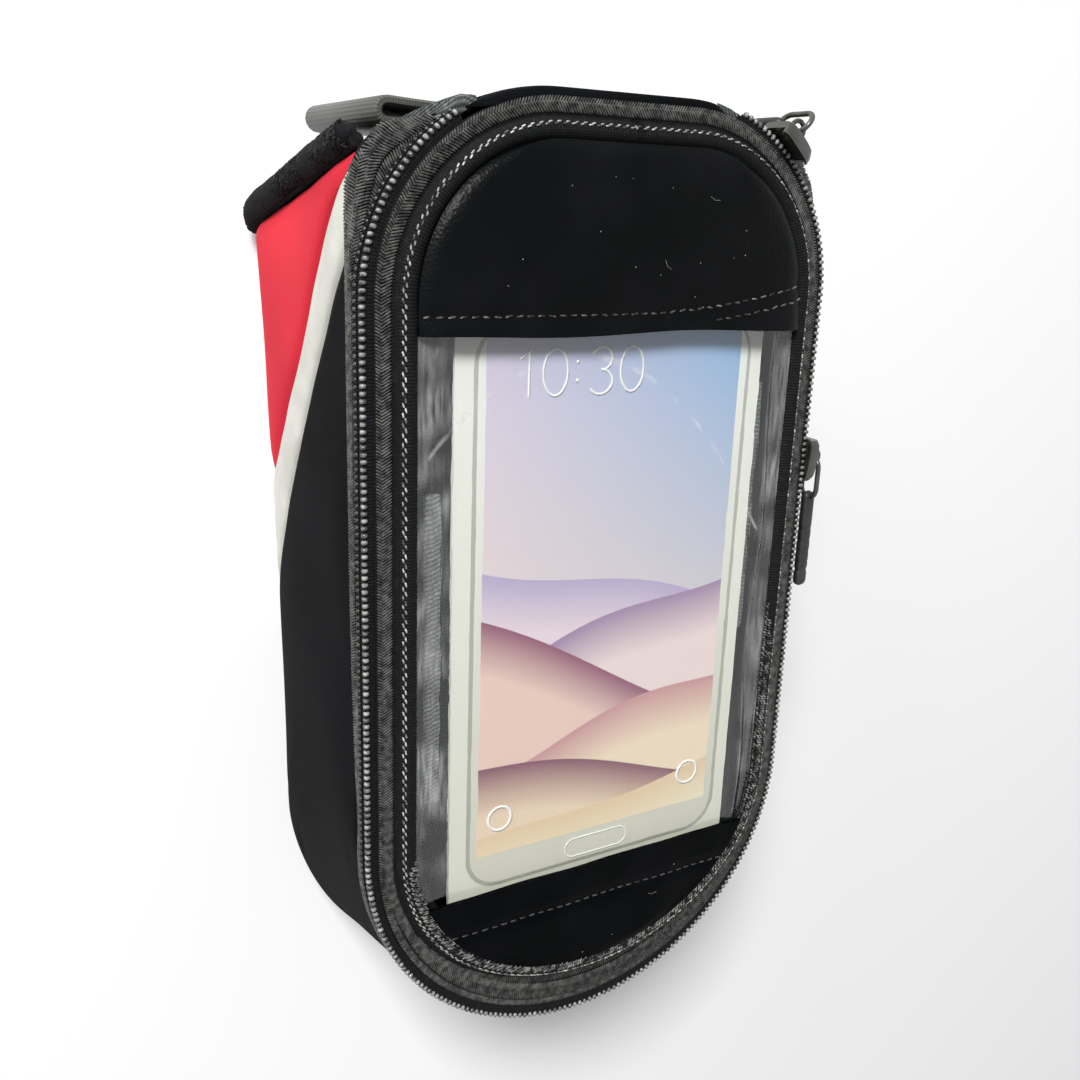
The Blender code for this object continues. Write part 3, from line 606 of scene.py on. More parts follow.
@dataclass(frozen=True)
class PrintedScreen(Finish):
    """The printed screen: an invented dune landscape under an evening sky, in offset inks."""

    roughness: float = 0.35
    dunes: tuple[Dune, ...] = (
        Dune(4 * MM, -0.34, 3.4 * MM, 70.0, 0.4, "#b6a6cc", "#e9d6df"),
        Dune(-5 * MM, 0.30, 2.6 * MM, 85.0, 1.9, "#9d7ea6", "#efd9d8"),
        Dune(-14 * MM, -0.42, 3.0 * MM, 62.0, 3.1, "#8a4468", "#ecc9bd"),
        Dune(-26 * MM, 0.22, 2.2 * MM, 95.0, 0.9, "#c98f94", "#f2dcc0"),
        Dune(-36 * MM, -0.20, 2.0 * MM, 80.0, 2.2, "#7d3c58", "#edd2b6"),
        Dune(-44 * MM, 0.12, 1.2 * MM, 90.0, 4.0, "#e6c8a2", "#f3e6c6"),
    )

    def paint(self, tree: bpy.types.NodeTree, shader: bpy.types.Node) -> None:
        """A four-corner sky, then each dune over the ones behind it."""
        _, u, v = self.place(tree)
        across = spread(tree, u, -28 * MM, 30 * MM)
        up = spread(tree, v, -20 * MM, 54 * MM)
        high = mix_colours(tree, across, srgb("#d3c8e0"), srgb("#86b2de"))
        low = mix_colours(tree, across, srgb("#efd9cf"), srgb("#e2d0cf"))
        colour = mix_colours(tree, up, low, high)
        for dune in self.dunes:
            ripple = work_out(tree, "SINE", work_out(tree, "MULTIPLY_ADD", u, dune.turns, dune.start))
            ridge = work_out(tree, "MULTIPLY_ADD", u, dune.slope, dune.crest)
            crest = work_out(tree, "MULTIPLY_ADD", ripple, dune.wave, ridge)
            below = work_out(tree, "SUBTRACT", crest, v)
            ink = mix_colours(tree, spread(tree, below, 0.0, 11 * MM), srgb(dune.colour), srgb(dune.foot))
            colour = mix_colours(tree, spread(tree, below, -0.1 * MM, 0.1 * MM), colour, ink)
        tree.links.new(colour, shader.inputs["Base Color"])
        shader.inputs["Specular IOR Level"].default_value = 0.3


CLOTH_BLACK = OxfordCloth("black_oxford_cloth", 0.78, "#040506", "#101114", sheen=0.012, specular=0.02)
CLOTH_RED = OxfordCloth("red_oxford_cloth", 0.7, "#b31c2e", "#e0303f", relief=0.05 * MM, sheen=0.0, specular=0.15)
CLOTH_LINING = OxfordCloth("black_lining_cloth", 0.8, "#070809", "#17181a", thread=0.5 * MM)
SILVER = ReflectiveTape("silver_reflective_tape")
TAPE = RibbedTape("zip_tape_weave", 0.7, "#070808", "#2b2c2b", rib=0.55 * MM, slant=0.8)
BINDING = RibbedTape("grosgrain_binding", 0.72, "#070808", "#262729", rib=0.6 * MM)
WEBBING = RibbedTape(
    "strap_webbing", 0.42, "#363733", "#6d6e67", rib=0.5 * MM, relief=0.05 * MM, speck=0.2, specular=0.35
)
PIPING = RibbedTape("piping_cloth", 0.85, "#08090a", "#333437", rib=0.5 * MM, slant=0.9)
GREY_TAPE = RibbedTape("grey_pocket_tape", 0.8, "#46474a", "#b0b1b3", rib=0.9 * MM, slant=0.3)
TAB = RibbedTape("folded_tape_end", 0.85, "#1d2022", "#8d938f", rib=0.9 * MM, slant=0.5)
# Yarn finishes: their light lengths are painted glints on the threads, the coil's teeth and the fuzz.
GLINTING_YARN = Yarn("painted_glint_weave_yarn")
TAPE_YARN = Yarn("zip_tape_yarn", 0.5, "#1a1b1b", "#555652", 0.34, 0.70, 0.3)
FUZZ = Yarn("piping_fuzz", 0.8, "#0f1011", "#3c3d3f", 0.40, 0.75, 0.1)
BINDING_FUZZ = Yarn("binding_fuzz", 0.7, "#1c1d1d", "#8b8c88", 0.38, 0.66, 0.15)
STITCH = Yarn("stitching_thread", 0.5, "#1c1d1f", "#77776f", 0.46, 0.72)
COIL = Yarn("zip_coil_nylon", 0.24, "#3d3e3b", "#8f908b", 0.36, 0.66, 0.6)
# The box's teeth: a darker copy of the coil's finish, as painted shade under the lid's edge.
COIL_SHADED = Yarn("zip_coil_nylon_painted_shade", 0.3, "#121313", "#3c3d3a", 0.40, 0.72, 0.5)
VINYL = Leatherette("black_leatherette", 0.33, "#020304", "#08090b", specular=0.07)
BAND_VINYL = Leatherette(
    "black_band_vinyl", 0.3, "#010203", "#050608", pebble=0.8 * MM, relief=0.03 * MM, specular=0.03
)
FILM = ClearFilm("clear_window_sheet")
SLIDER_PAINT = MouldedPlastic("enamelled_zinc", 0.28, "#2a2b27", 0.0, 0.6)
GRIP = MouldedPlastic("moulded_pull_grip", 0.5, "#0f1011")
LINT = MouldedPlastic("pale_lint", 0.8, "#6f706c", 0.0, 0.2)
# The printed phone and the white ink share the card's painted shade towards the foot.
CARD = GlossCard("white_card")
PHONE_BODY = GlossCard("printed_phone_body", 0.35, "#f4f3ee", "#cfccbc")
PHONE_EDGE = GlossCard("printed_phone_edge", 0.35, "#b9b8b1", "#a5a395")
SCREEN = PrintedScreen("printed_screen")
INK_WHITE = GlossCard("printed_white_ink", 0.35, "#fbfafa", "#f1efe8")


def to_world(point: Vector) -> Vector:
    """A point of the lid's frame in the CAD frame."""
    return LID_FRAME @ point


def new_mesh(
    name: str,
    points: Sequence[Vector],
    faces: Sequence[Sequence[int]],
    places: Sequence[tuple[float, float]] | None = None,
    outwards: bool = True,
    sharp: float = 50.0,
) -> bpy.types.Object:
    """A mesh object at the origin, with outward faces, smooth shading and a UV map in metres.

    Args:
        name: The object's name.
        points: Vertices in the CAD frame.
        faces: Vertex numbers of each face.
        places: A (u, v) in metres for each vertex.
        outwards: Whether a closed shape's faces are turned outwards.
        sharp: Edges sharper than this angle, in degrees, stay sharp.

    Returns:
        The object, linked to the scene.
    """
    mesh = bpy.data.meshes.new(name)
    mesh.from_pydata([tuple(point) for point in points], [], faces)
    if places:
        layer = mesh.uv_layers.new(name="Surface")
        for loop in mesh.loops:
            layer.data[loop.index].uv = places[loop.vertex_index]
    if outwards:
        builder = bmesh.new()
        builder.from_mesh(mesh)
        bmesh.ops.recalc_face_normals(builder, faces=builder.faces)
        builder.to_mesh(mesh)
        builder.free()
    mesh.shade_smooth()
    mesh.set_sharp_from_angle(angle=math.radians(sharp))
    obj = bpy.data.objects.new(name, mesh)
    bpy.context.scene.collection.objects.link(obj)
    return obj


def distances(points: Sequence[Vector]) -> list[float]:
    """Running distance along a line of points."""
    runs = [0.0]
    for first, second in zip(points, points[1:]):
        runs.append(runs[-1] + (second - first).length)
    return runs


def sweep(name: str, rings: Grid, closed: bool, sharp: float = 50.0) -> bpy.types.Object:
    """A solid through rings of points in the lid's frame: a closed ring, or a strip with caps."""
    count, width = len(rings), len(rings[0])
    middles = [sum(ring, Vector()) / width for ring in rings]
    runs = distances(middles)
    points, places = [], []
    for ring, run in zip(rings, runs):
        around = distances(ring)
        points += [to_world(point) for point in ring]
        places += [(run, place) for place in around]
    faces = []
    for row in range(count if closed else count - 1):
        after = (row + 1) % count
        for index in range(width):
            beside = (index + 1) % width
            faces.append((row * width + index, row * width + beside, after * width + beside, after * width + index))
    if not closed:
        faces.append(list(range(width)))
        faces.append([(count - 1) * width + index for index in reversed(range(width))])
    return new_mesh(name, points, faces, places, sharp=sharp)


def slab(
    name: str, outer: Grid, inner: Grid, places: list[list[tuple[float, float]]] | None = None
) -> bpy.types.Object:
    """A closed panel between two grids of points in the lid's frame.

    Args:
        name: The object's name.
        outer: Rows of points of the outer face.
        inner: Rows of points of the inner face.
        places: A (u, v) in metres for each outer point, or None to use its own u and v.

    Returns:
        The panel.
    """
    rows, columns = len(outer), len(outer[0])
    flat_outer = [point for row in outer for point in row]
    flat_inner = [point for row in inner for point in row]
    if places is None:
        maps = [(point.x, point.y) for point in flat_outer]
    else:
        maps = [place for row in places for place in row]
    total = rows * columns

    def at(row: int, column: int, side: int) -> int:
        return side * total + row * columns + column

    faces = []
    for row in range(rows - 1):
        for column in range(columns - 1):
            corners = [(row, column), (row, column + 1), (row + 1, column + 1), (row + 1, column)]
            faces.append([at(*corner, 0) for corner in corners])
            faces.append([at(*corner, 1) for corner in reversed(corners)])
    border = [(0, column) for column in range(columns)]
    border += [(row, columns - 1) for row in range(1, rows)]
    border += [(rows - 1, column) for column in range(columns - 2, -1, -1)]
    border += [(row, 0) for row in range(rows - 2, 0, -1)]
    for first, second in zip(border, border[1:] + border[:1]):
        faces.append([at(*first, 0), at(*first, 1), at(*second, 1), at(*second, 0)])
    points = [to_world(point) for point in flat_outer + flat_inner]
    return new_mesh(name, points, faces, maps + maps)


def prism(name: str, loop: Sequence[tuple[float, float]], low: float, high: float) -> bpy.types.Object:
    """A flat plate from a loop of (u, v), between two heights w."""
    count = len(loop)
    points = [to_world(Vector((u, v, w))) for w in (low, high) for u, v in loop]
    faces = [list(range(count - 1, -1, -1)), [count + index for index in range(count)]]
    for index in range(count):
        after = (index + 1) % count
        faces.append([index, after, count + after, count + index])
    return new_mesh(name, points, faces, [*loop, *loop], sharp=30)


def tube(
    name: str, path: Sequence[Vector], radius: Callable[[float], float], sides: int, closed: bool
) -> bpy.types.Object:
    """A round tube along a path in the lid's frame, with a radius that may change along it."""
    rings: Grid = []
    count = len(path)
    side = Vector((0, 0, 1))
    for index, point in enumerate(path):
        if closed:
            heading = path[(index + 1) % count] - path[index - 1]
        else:
            heading = path[min(index + 1, count - 1)] - path[max(index - 1, 0)]
        heading.normalize()
        side = (side - heading * side.dot(heading)).normalized()
        third = heading.cross(side)
        reach = radius(index / max(1, count - 1))
        ring = []
        for corner in range(sides):
            angle = 2 * math.pi * corner / sides
            ring.append(point + side * (reach * math.cos(angle)) + third * (reach * math.sin(angle)))
        rings.append(ring)
    return sweep(name, rings, closed, sharp=60)


def join(name: str, objects: Sequence[bpy.types.Object]) -> bpy.types.Object:
    """One object from several, each with its own finish kept."""
    builder = bmesh.new()
    mesh = bpy.data.meshes.new(name)
    for obj in objects:
        offset = len(mesh.materials)
        before = len(builder.faces)
        for material in obj.data.materials:
            mesh.materials.append(material)
        builder.from_mesh(obj.data)
        builder.faces.ensure_lookup_table()
        for face in builder.faces[before:]:
            face.material_index += offset
        bpy.data.objects.remove(obj, do_unlink=True)
    builder.to_mesh(mesh)
    builder.free()
    joined = bpy.data.objects.new(name, mesh)
    bpy.context.scene.collection.objects.link(joined)
    return joined


def soften(obj: bpy.types.Object, levels: int = 1) -> bpy.types.Object:
    """Smooth a piece's surface by subdivision."""
    modifier = obj.modifiers.new("soft_surface", "SUBSURF")
    modifier.levels = levels
    modifier.render_levels = levels
    return obj


def settle(
    obj: bpy.types.Object,
    finish: Finish,
    body: Body,
    replaced: Sequence[str] = (),
) -> bpy.types.Object:
    """Give a piece its finish and its body, and hide the CAD nodes that it stands for.

    Args:
        obj: The piece.
        finish: Its finish, unless it already has materials.
        body: The CAD body that it rides on.
        replaced: The CAD nodes that it replaces.

    Returns:
        The piece.
    """
    if not obj.data.materials:
        obj.data.materials.append(finish.material())
    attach(obj, body.value)
    if replaced:
        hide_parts(*replaced)
    LOG.info("%s rides on %s", obj.name, body.value)
    return obj


def wrinkle(point: Vector, size: float, height: float, seed: float) -> float:
    """A smooth random height at a point."""
    return height * noise.noise(point / size + Vector((seed, seed * 1.7, -seed)))


class Padding:
    """Blows padded panels up between their seams with a short cloth simulation."""

    frames = 20
    pressure = 4.0

    def puff(self, obj: bpy.types.Object, sewn: Sequence[int], cap: float) -> None:
        """Inflate a closed panel whose sewn vertices stay put.

        Args:
            obj: The panel, which is changed in place.
            sewn: Numbers of the vertices that don't move.
            cap: The furthest that a vertex may move.
        """
        group = obj.vertex_groups.new(name="sewn")
        group.add(list(sewn), 1.0, "REPLACE")
        cloth = obj.modifiers.new("padding", "CLOTH")
        cloth.settings.quality = 4
        cloth.settings.mass = 0.15
        cloth.settings.tension_stiffness = 12
        cloth.settings.compression_stiffness = 12
        cloth.settings.bending_stiffness = 0.4
        cloth.settings.vertex_group_mass = "sewn"
        cloth.settings.use_pressure = True
        cloth.settings.uniform_pressure_force = self.pressure
        cloth.settings.effector_weights.gravity = 0.0
        cloth.collision_settings.use_collision = False
        scene = bpy.context.scene
        scene.frame_start = 1
        scene.frame_end = self.frames
        for number in range(1, self.frames + 1):
            scene.frame_set(number)
        shaped = obj.evaluated_get(bpy.context.evaluated_depsgraph_get())
        moved = [vertex.co.copy() for vertex in shaped.data.vertices]
        obj.modifiers.remove(cloth)
        obj.vertex_groups.clear()
        furthest = 0.0
        for vertex, place in zip(obj.data.vertices, moved):
            shift = place - vertex.co
            furthest = max(furthest, shift.length)
            if shift.length > cap:
                shift *= cap / shift.length
            vertex.co += shift
        scene.frame_set(1)
        LOG.info("%s puffed by up to %.2f mm, capped at %.2f mm", obj.name, furthest / MM, cap / MM)


class Item(Enum):
    """Small shapes that rows repeat."""

    TOOTH = "tooth"
    STITCH = "stitch"
    BAR = "bar"
    YARN = "yarn"


class Rows:
    """Repeats a small shape along paths with Geometry Nodes, and bakes the result to a mesh."""

    def __init__(self) -> None:
        """Build the small shapes and the node tree."""
        self.items = {
            Item.TOOTH: self.pill("tooth_shape", (0.42 * MM, 0.62 * MM, 0.60 * MM), 8, 6),
            Item.STITCH: self.pill("stitch_shape", (0.75 * MM, 0.20 * MM, 0.16 * MM), 6, 4),
            Item.BAR: self.pill("bar_shape", (0.50 * MM, 0.19 * MM, 0.17 * MM), 6, 4),
            Item.YARN: self.pill("yarn_shape", (1.15 * MM, 0.21 * MM, 0.15 * MM), 6, 6),
        }
        self.tree = self.build_tree()

    @staticmethod
    def pill(name: str, reach: tuple[float, float, float], around: int, along: int) -> bpy.types.Object:
        """A rounded grain with given half sizes, with few faces."""
        builder = bmesh.new()
        bmesh.ops.create_uvsphere(builder, u_segments=around, v_segments=along, radius=1.0)
        bmesh.ops.rotate(builder, matrix=Matrix.Rotation(math.pi / 2, 3, "Y"), verts=builder.verts)
        for vertex in builder.verts:
            square = [math.copysign(abs(part) ** 0.75, part) for part in vertex.co]
            vertex.co = Vector(part * size for part, size in zip(square, reach))
        mesh = bpy.data.meshes.new(name)
        builder.to_mesh(mesh)
        builder.free()
        mesh.shade_smooth()
        obj = bpy.data.objects.new(name, mesh)
        bpy.context.scene.collection.objects.link(obj)
        return obj

    @staticmethod
    def build_tree() -> bpy.types.NodeTree:
        """The tree: path to even points, each with the shape laid along the path."""
        tree = bpy.data.node_groups.new("row_of_shapes", "GeometryNodeTree")
        face = tree.interface
        face.new_socket("Geometry", in_out="OUTPUT", socket_type="NodeSocketGeometry")
        face.new_socket("Geometry", in_out="INPUT", socket_type="NodeSocketGeometry")
        for name, kind in (
            ("Shape", "NodeSocketObject"),
            ("Pitch", "NodeSocketFloat"),
            ("Stagger", "NodeSocketFloat"),
            ("Slant", "NodeSocketFloat"),
            ("Unevenness", "NodeSocketFloat"),
            ("Seed", "NodeSocketInt"),
            ("Finish", "NodeSocketMaterial"),
        ):
            face.new_socket(name, in_out="INPUT", socket_type=kind)
        given = add_node(tree, "NodeGroupInput").outputs
        path = add_node(tree, "GeometryNodeMeshToCurve", {"Mesh": given["Geometry"]}).outputs[0]
        even = add_node(tree, "GeometryNodeResampleCurve", {"Curve": path, "Length": given["Pitch"]}, mode="LENGTH")
        up = add_node(tree, "GeometryNodeInputNamedAttribute", {"Name": "up"}, data_type="FLOAT_VECTOR").outputs[0]
        heading = add_node(tree, "GeometryNodeInputTangent").outputs[0]
        side = add_node(tree, "ShaderNodeVectorMath", {0: up, 1: heading}, operation="CROSS_PRODUCT").outputs[0]
        number = add_node(tree, "GeometryNodeInputIndex").outputs[0]
        odd = work_out(tree, "MULTIPLY_ADD", work_out(tree, "MODULO", number, 2.0), 2.0, -1.0)
        jitter = add_node(
            tree, "FunctionNodeRandomValue", {2: -1.0, 3: 1.0, "ID": number, "Seed": given["Seed"]}, data_type="FLOAT"
        ).outputs[1]
        uneven = work_out(tree, "MULTIPLY", jitter, given["Unevenness"])
        reach = work_out(tree, "MULTIPLY_ADD", uneven, 0.3 * MM, work_out(tree, "MULTIPLY", odd, given["Stagger"]))
        shift = add_node(tree, "ShaderNodeVectorMath", {0: side, "Scale": reach}, operation="SCALE").outputs[0]
        moved = add_node(tree, "GeometryNodeSetPosition", {"Geometry": even.outputs[0], "Offset": shift})
        stand = add_node(tree, "FunctionNodeAlignRotationToVector", {"Vector": up}, axis="Z").outputs[0]
        lay = add_node(
            tree, "FunctionNodeAlignRotationToVector", {"Rotation": stand, "Vector": heading}, axis="X", pivot_axis="Z"
        ).outputs[0]
        lean = work_out(tree, "ADD", given["Slant"], uneven)
        turn = add_node(tree, "FunctionNodeAxisAngleToRotation", {"Axis": (0, 0, 1), "Angle": lean}).outputs[0]
        laid = add_node(tree, "FunctionNodeRotateRotation", {0: lay, 1: turn}, rotation_space="LOCAL").outputs[0]
        shape = add_node(tree, "GeometryNodeObjectInfo", {"Object": given["Shape"]}).outputs["Geometry"]
        repeated = add_node(
            tree,
            "GeometryNodeInstanceOnPoints",
            {"Points": moved.outputs[0], "Instance": shape, "Rotation": laid},
        ).outputs[0]
        real = add_node(tree, "GeometryNodeRealizeInstances", {0: repeated}).outputs[0]
        painted = add_node(tree, "GeometryNodeSetMaterial", {"Geometry": real, "Material": given["Finish"]}).outputs[0]
        add_node(tree, "NodeGroupOutput", {0: painted})
        return tree

    def lay(
        self,
        name: str,
        item: Item,
        paths: Sequence[Sequence[tuple[Vector, Vector]]],
        pitch: float,
        finish: Finish,
        stagger: float = 0.0,
        slant: float = 0.0,
        uneven: float = 0.0,
        seed: int = 1,
    ) -> bpy.types.Object:
        """Repeat a shape along paths.

        Args:
            name: The object's name.
            item: Which shape.
            paths: Lines of (point, outward direction) in the lid's frame.
            pitch: Distance between shapes.
            finish: Their finish.
            stagger: Sideways shift of every other shape, to each side in turn.
            slant: Angle between the shape and the path.
            uneven: How irregular the shapes lie, 0 for a machine's.
            seed: Seed of the irregularity.

        Returns:
            The baked object.
        """
        mesh = bpy.data.meshes.new(name)
        points, edges, ups = [], [], []
        turn = LID_FRAME.to_3x3()
        for path in paths:
            first = len(points)
            points += [tuple(to_world(point)) for point, _ in path]
            ups += [turn @ direction.normalized() for _, direction in path]
            edges += [(first + index, first + index + 1) for index in range(len(path) - 1)]
        mesh.from_pydata(points, edges, [])
        layer = mesh.attributes.new("up", "FLOAT_VECTOR", "POINT")
        for index, direction in enumerate(ups):
            layer.data[index].vector = direction
        carrier = bpy.data.objects.new(name + "_path", mesh)
        bpy.context.scene.collection.objects.link(carrier)
        modifier = carrier.modifiers.new("rows", "NODES")
        modifier.node_group = self.tree
        values = {
            "Shape": self.items[item],
            "Pitch": pitch,
            "Stagger": stagger,
            "Slant": slant,
            "Unevenness": uneven,
            "Seed": seed,
            "Finish": finish.material(),
        }
        for socket in self.tree.interface.items_tree:
            if socket.in_out == "INPUT" and socket.name in values:
                modifier[socket.identifier] = values[socket.name]
        carrier.update_tag()
        bpy.context.view_layer.update()
        graph = bpy.context.evaluated_depsgraph_get()
        baked = bpy.data.meshes.new_from_object(carrier.evaluated_get(graph))
        bpy.data.objects.remove(carrier, do_unlink=True)
        obj = bpy.data.objects.new(name, baked)
        bpy.context.scene.collection.objects.link(obj)
        if not baked.materials:
            baked.materials.append(finish.material())
        return obj

    def clear(self) -> None:
        """Remove the small shapes once every row is baked."""
        for obj in self.items.values():
            bpy.data.objects.remove(obj, do_unlink=True)


@dataclass
class SideWalls:
    """The side wall in its three colours, as one padded shell sewn along the seams."""

    red_columns: int = 16
    silver_columns: int = 8
    black_columns: int = 66
    flat_rows: int = 24
    edge_rows: int = 5
    puff_cap: float = 1.5 * MM
    seam_width: float = 1.6 * MM
    seam_depth: float = 0.7 * MM
    red_seam: tuple[tuple[float, float], ...] = ((0.086, -0.004), (0.076, -0.024), (0.052, -0.032), (0.006, -0.070))
    black_seam: tuple[tuple[float, float], ...] = (
        (0.084, 0.006),
        (0.0699, -0.0184),
        (0.0044, -0.0573),
        (-0.019, -0.063),
    )

    def seam_table(self, controls: Sequence[tuple[float, float]]) -> list[tuple[float, float]]:
        """Points (w, v) down a colour seam, carried on past its ends."""
        table = []
        for index in range(61):
            t = index / 60
            weights = ((1 - t) ** 3, 3 * t * (1 - t) ** 2, 3 * t * t * (1 - t), t**3)
            v, w = (sum(weight * control[axis] for weight, control in zip(weights, controls)) for axis in (0, 1))
            table.append((w, v))
        (w0, v0), (w1, v1) = table[-2], table[-1]
        table.append((w1 + 60 * (w1 - w0), v1 + 60 * (v1 - v0)))
        return table

    def seam_v(self, table: Sequence[tuple[float, float]], w: float) -> float:
        """The seam's v at a height w."""
        for (w0, v0), (w1, v1) in zip(table, table[1:]):
            if w1 <= w <= w0:
                return v0 + (v1 - v0) * (w - w0) / (w1 - w0)
        return table[0][1] if w > table[0][0] else table[-1][1]

    def crossing(self, table: Sequence[tuple[float, float]], share: float, start: float) -> float:
        """The step count where a row of the left wall crosses a seam."""
        low, high = start, SIDE_END + 4.0
        for _ in range(22):
            middle = (low + high) / 2
            point = wall_surface(middle, share, 0)
            if point.y > self.seam_v(table, point.z):
                low = middle
            else:
                high = middle
        return low

    def columns(self, share: float, tables: Sequence[Sequence[tuple[float, float]]]) -> list[float]:
        """Step counts of a row's columns, from the left corner seam to the right one."""
        start = CORNER_SEAM + 0.16
        red = max(self.crossing(tables[0], share, start), start + 0.1)
        black = max(self.crossing(tables[1], share, start), red + 0.1)
        half = []
        for first, last, count in (
            (start, red, self.red_columns),
            (red, black, self.silver_columns),
            (black, HALF_STEPS, self.black_columns),
        ):
            low, high = RUNS.run(first), RUNS.run(last)
            half += [RUNS.step(low + (high - low) * index / count) for index in range(count)]
        return half + [HALF_STEPS] + [RING_STEPS - step for step in reversed(half)]

    def build(self, padding: Padding) -> dict[str, bpy.types.Object]:
        """Build and puff the shell, then cut it into its panels.

        Args:
            padding: The cloth simulation.

        Returns:
            Panels by name: red and silver on both sides, and the black wall.
        """
        tables = [self.seam_table(self.red_seam), self.seam_table(self.black_seam)]
        shares = [row / self.flat_rows for row in range(self.flat_rows + 1)]
        shares += [1 + (row + 1) / self.edge_rows for row in range(self.edge_rows)]
        steps = [self.columns(share, tables) for share in shares]
        outer = [[wall_surface(step, share, 0) for step in row] for row, share in zip(steps, shares)]
        inner = [[wall_surface(step, share, SIZES.wall) for step in row] for row, share in zip(steps, shares)]
        red, black = self.red_columns, self.red_columns + self.silver_columns
        last = len(steps[0]) - 1
        seams = (0, red, black, last - black, last - red, last)
        rows, columns = len(outer), last + 1
        shell = slab("wall_shell", outer, inner)
        total = rows * columns
        sewn = set(range(total, 2 * total))
        for column in seams:
            sewn.update(row * columns + column for row in range(rows))
        sewn.update(range(columns))
        sewn.update(range(total - columns, total))
        padding.puff(shell, sorted(sewn), self.puff_cap)
        back = LID_FRAME.inverted()
        for row in range(rows):
            for column in range(columns):
                point = back @ shell.data.vertices[row * columns + column].co
                outer[row][column] = self.finished(point, outer, inner, row, column, seams)
        bpy.data.objects.remove(shell, do_unlink=True)
        downs = [distances([outer[row][columns // 2] for row in range(rows)])] * columns
        places = [
            [(RUNS.run(steps[row][column]), downs[column][row]) for column in range(columns)] for row in range(rows)
        ]
        spans = {
            "red_cloth_left": (0, red),
            "silver_cloth_left": (red, black),
            "black_cloth_wall": (black, last - black),
            "silver_cloth_right": (last - black, last - red),
            "red_cloth_right": (last - red, last),
        }
        panels = {}
        for name, (first, end) in spans.items():
            cut = slice(first, end + 1)
            parts = [[row[cut] for row in grid] for grid in (outer, inner, places)]
            panels[name] = soften(slab(name, *parts))
        return panels

    def finished(
        self, point: Vector, outer: Grid, inner: Grid, row: int, column: int, seams: Sequence[int]
    ) -> Vector:
        """A point of the outer face with its seams pulled in and slow folds added."""
        outwards = (outer[row][column] - inner[row][column]).normalized()
        near = min((point - outer[row][seam]).length for seam in seams)
        sink = self.seam_depth * math.exp(-((near / self.seam_width) ** 2))
        pucker = wrinkle(point, 7 * MM, 0.35 * MM, 3.0) * math.exp(-near / (6 * MM))
        fold = wrinkle(point, 26 * MM, 0.7 * MM, 8.0)
        edge = min(1.0, row / 4)
        return point + outwards * (edge * (fold + pucker) - sink)

    def dress(self, padding: Padding) -> None:
        """Finish the panels and hide the CAD nodes that they stand for."""
        panels = self.build(padding)
        for hand in ("left", "right"):
            settle(panels[f"red_cloth_{hand}"], CLOTH_RED, Body.BAG, [f"red_panel_{hand}"])
            settle(panels[f"silver_cloth_{hand}"], SILVER, Body.BAG, [f"reflective_band_{hand}"])
        settle(panels["black_cloth_wall"], CLOTH_BLACK, Body.BAG, ["wall_panel"])


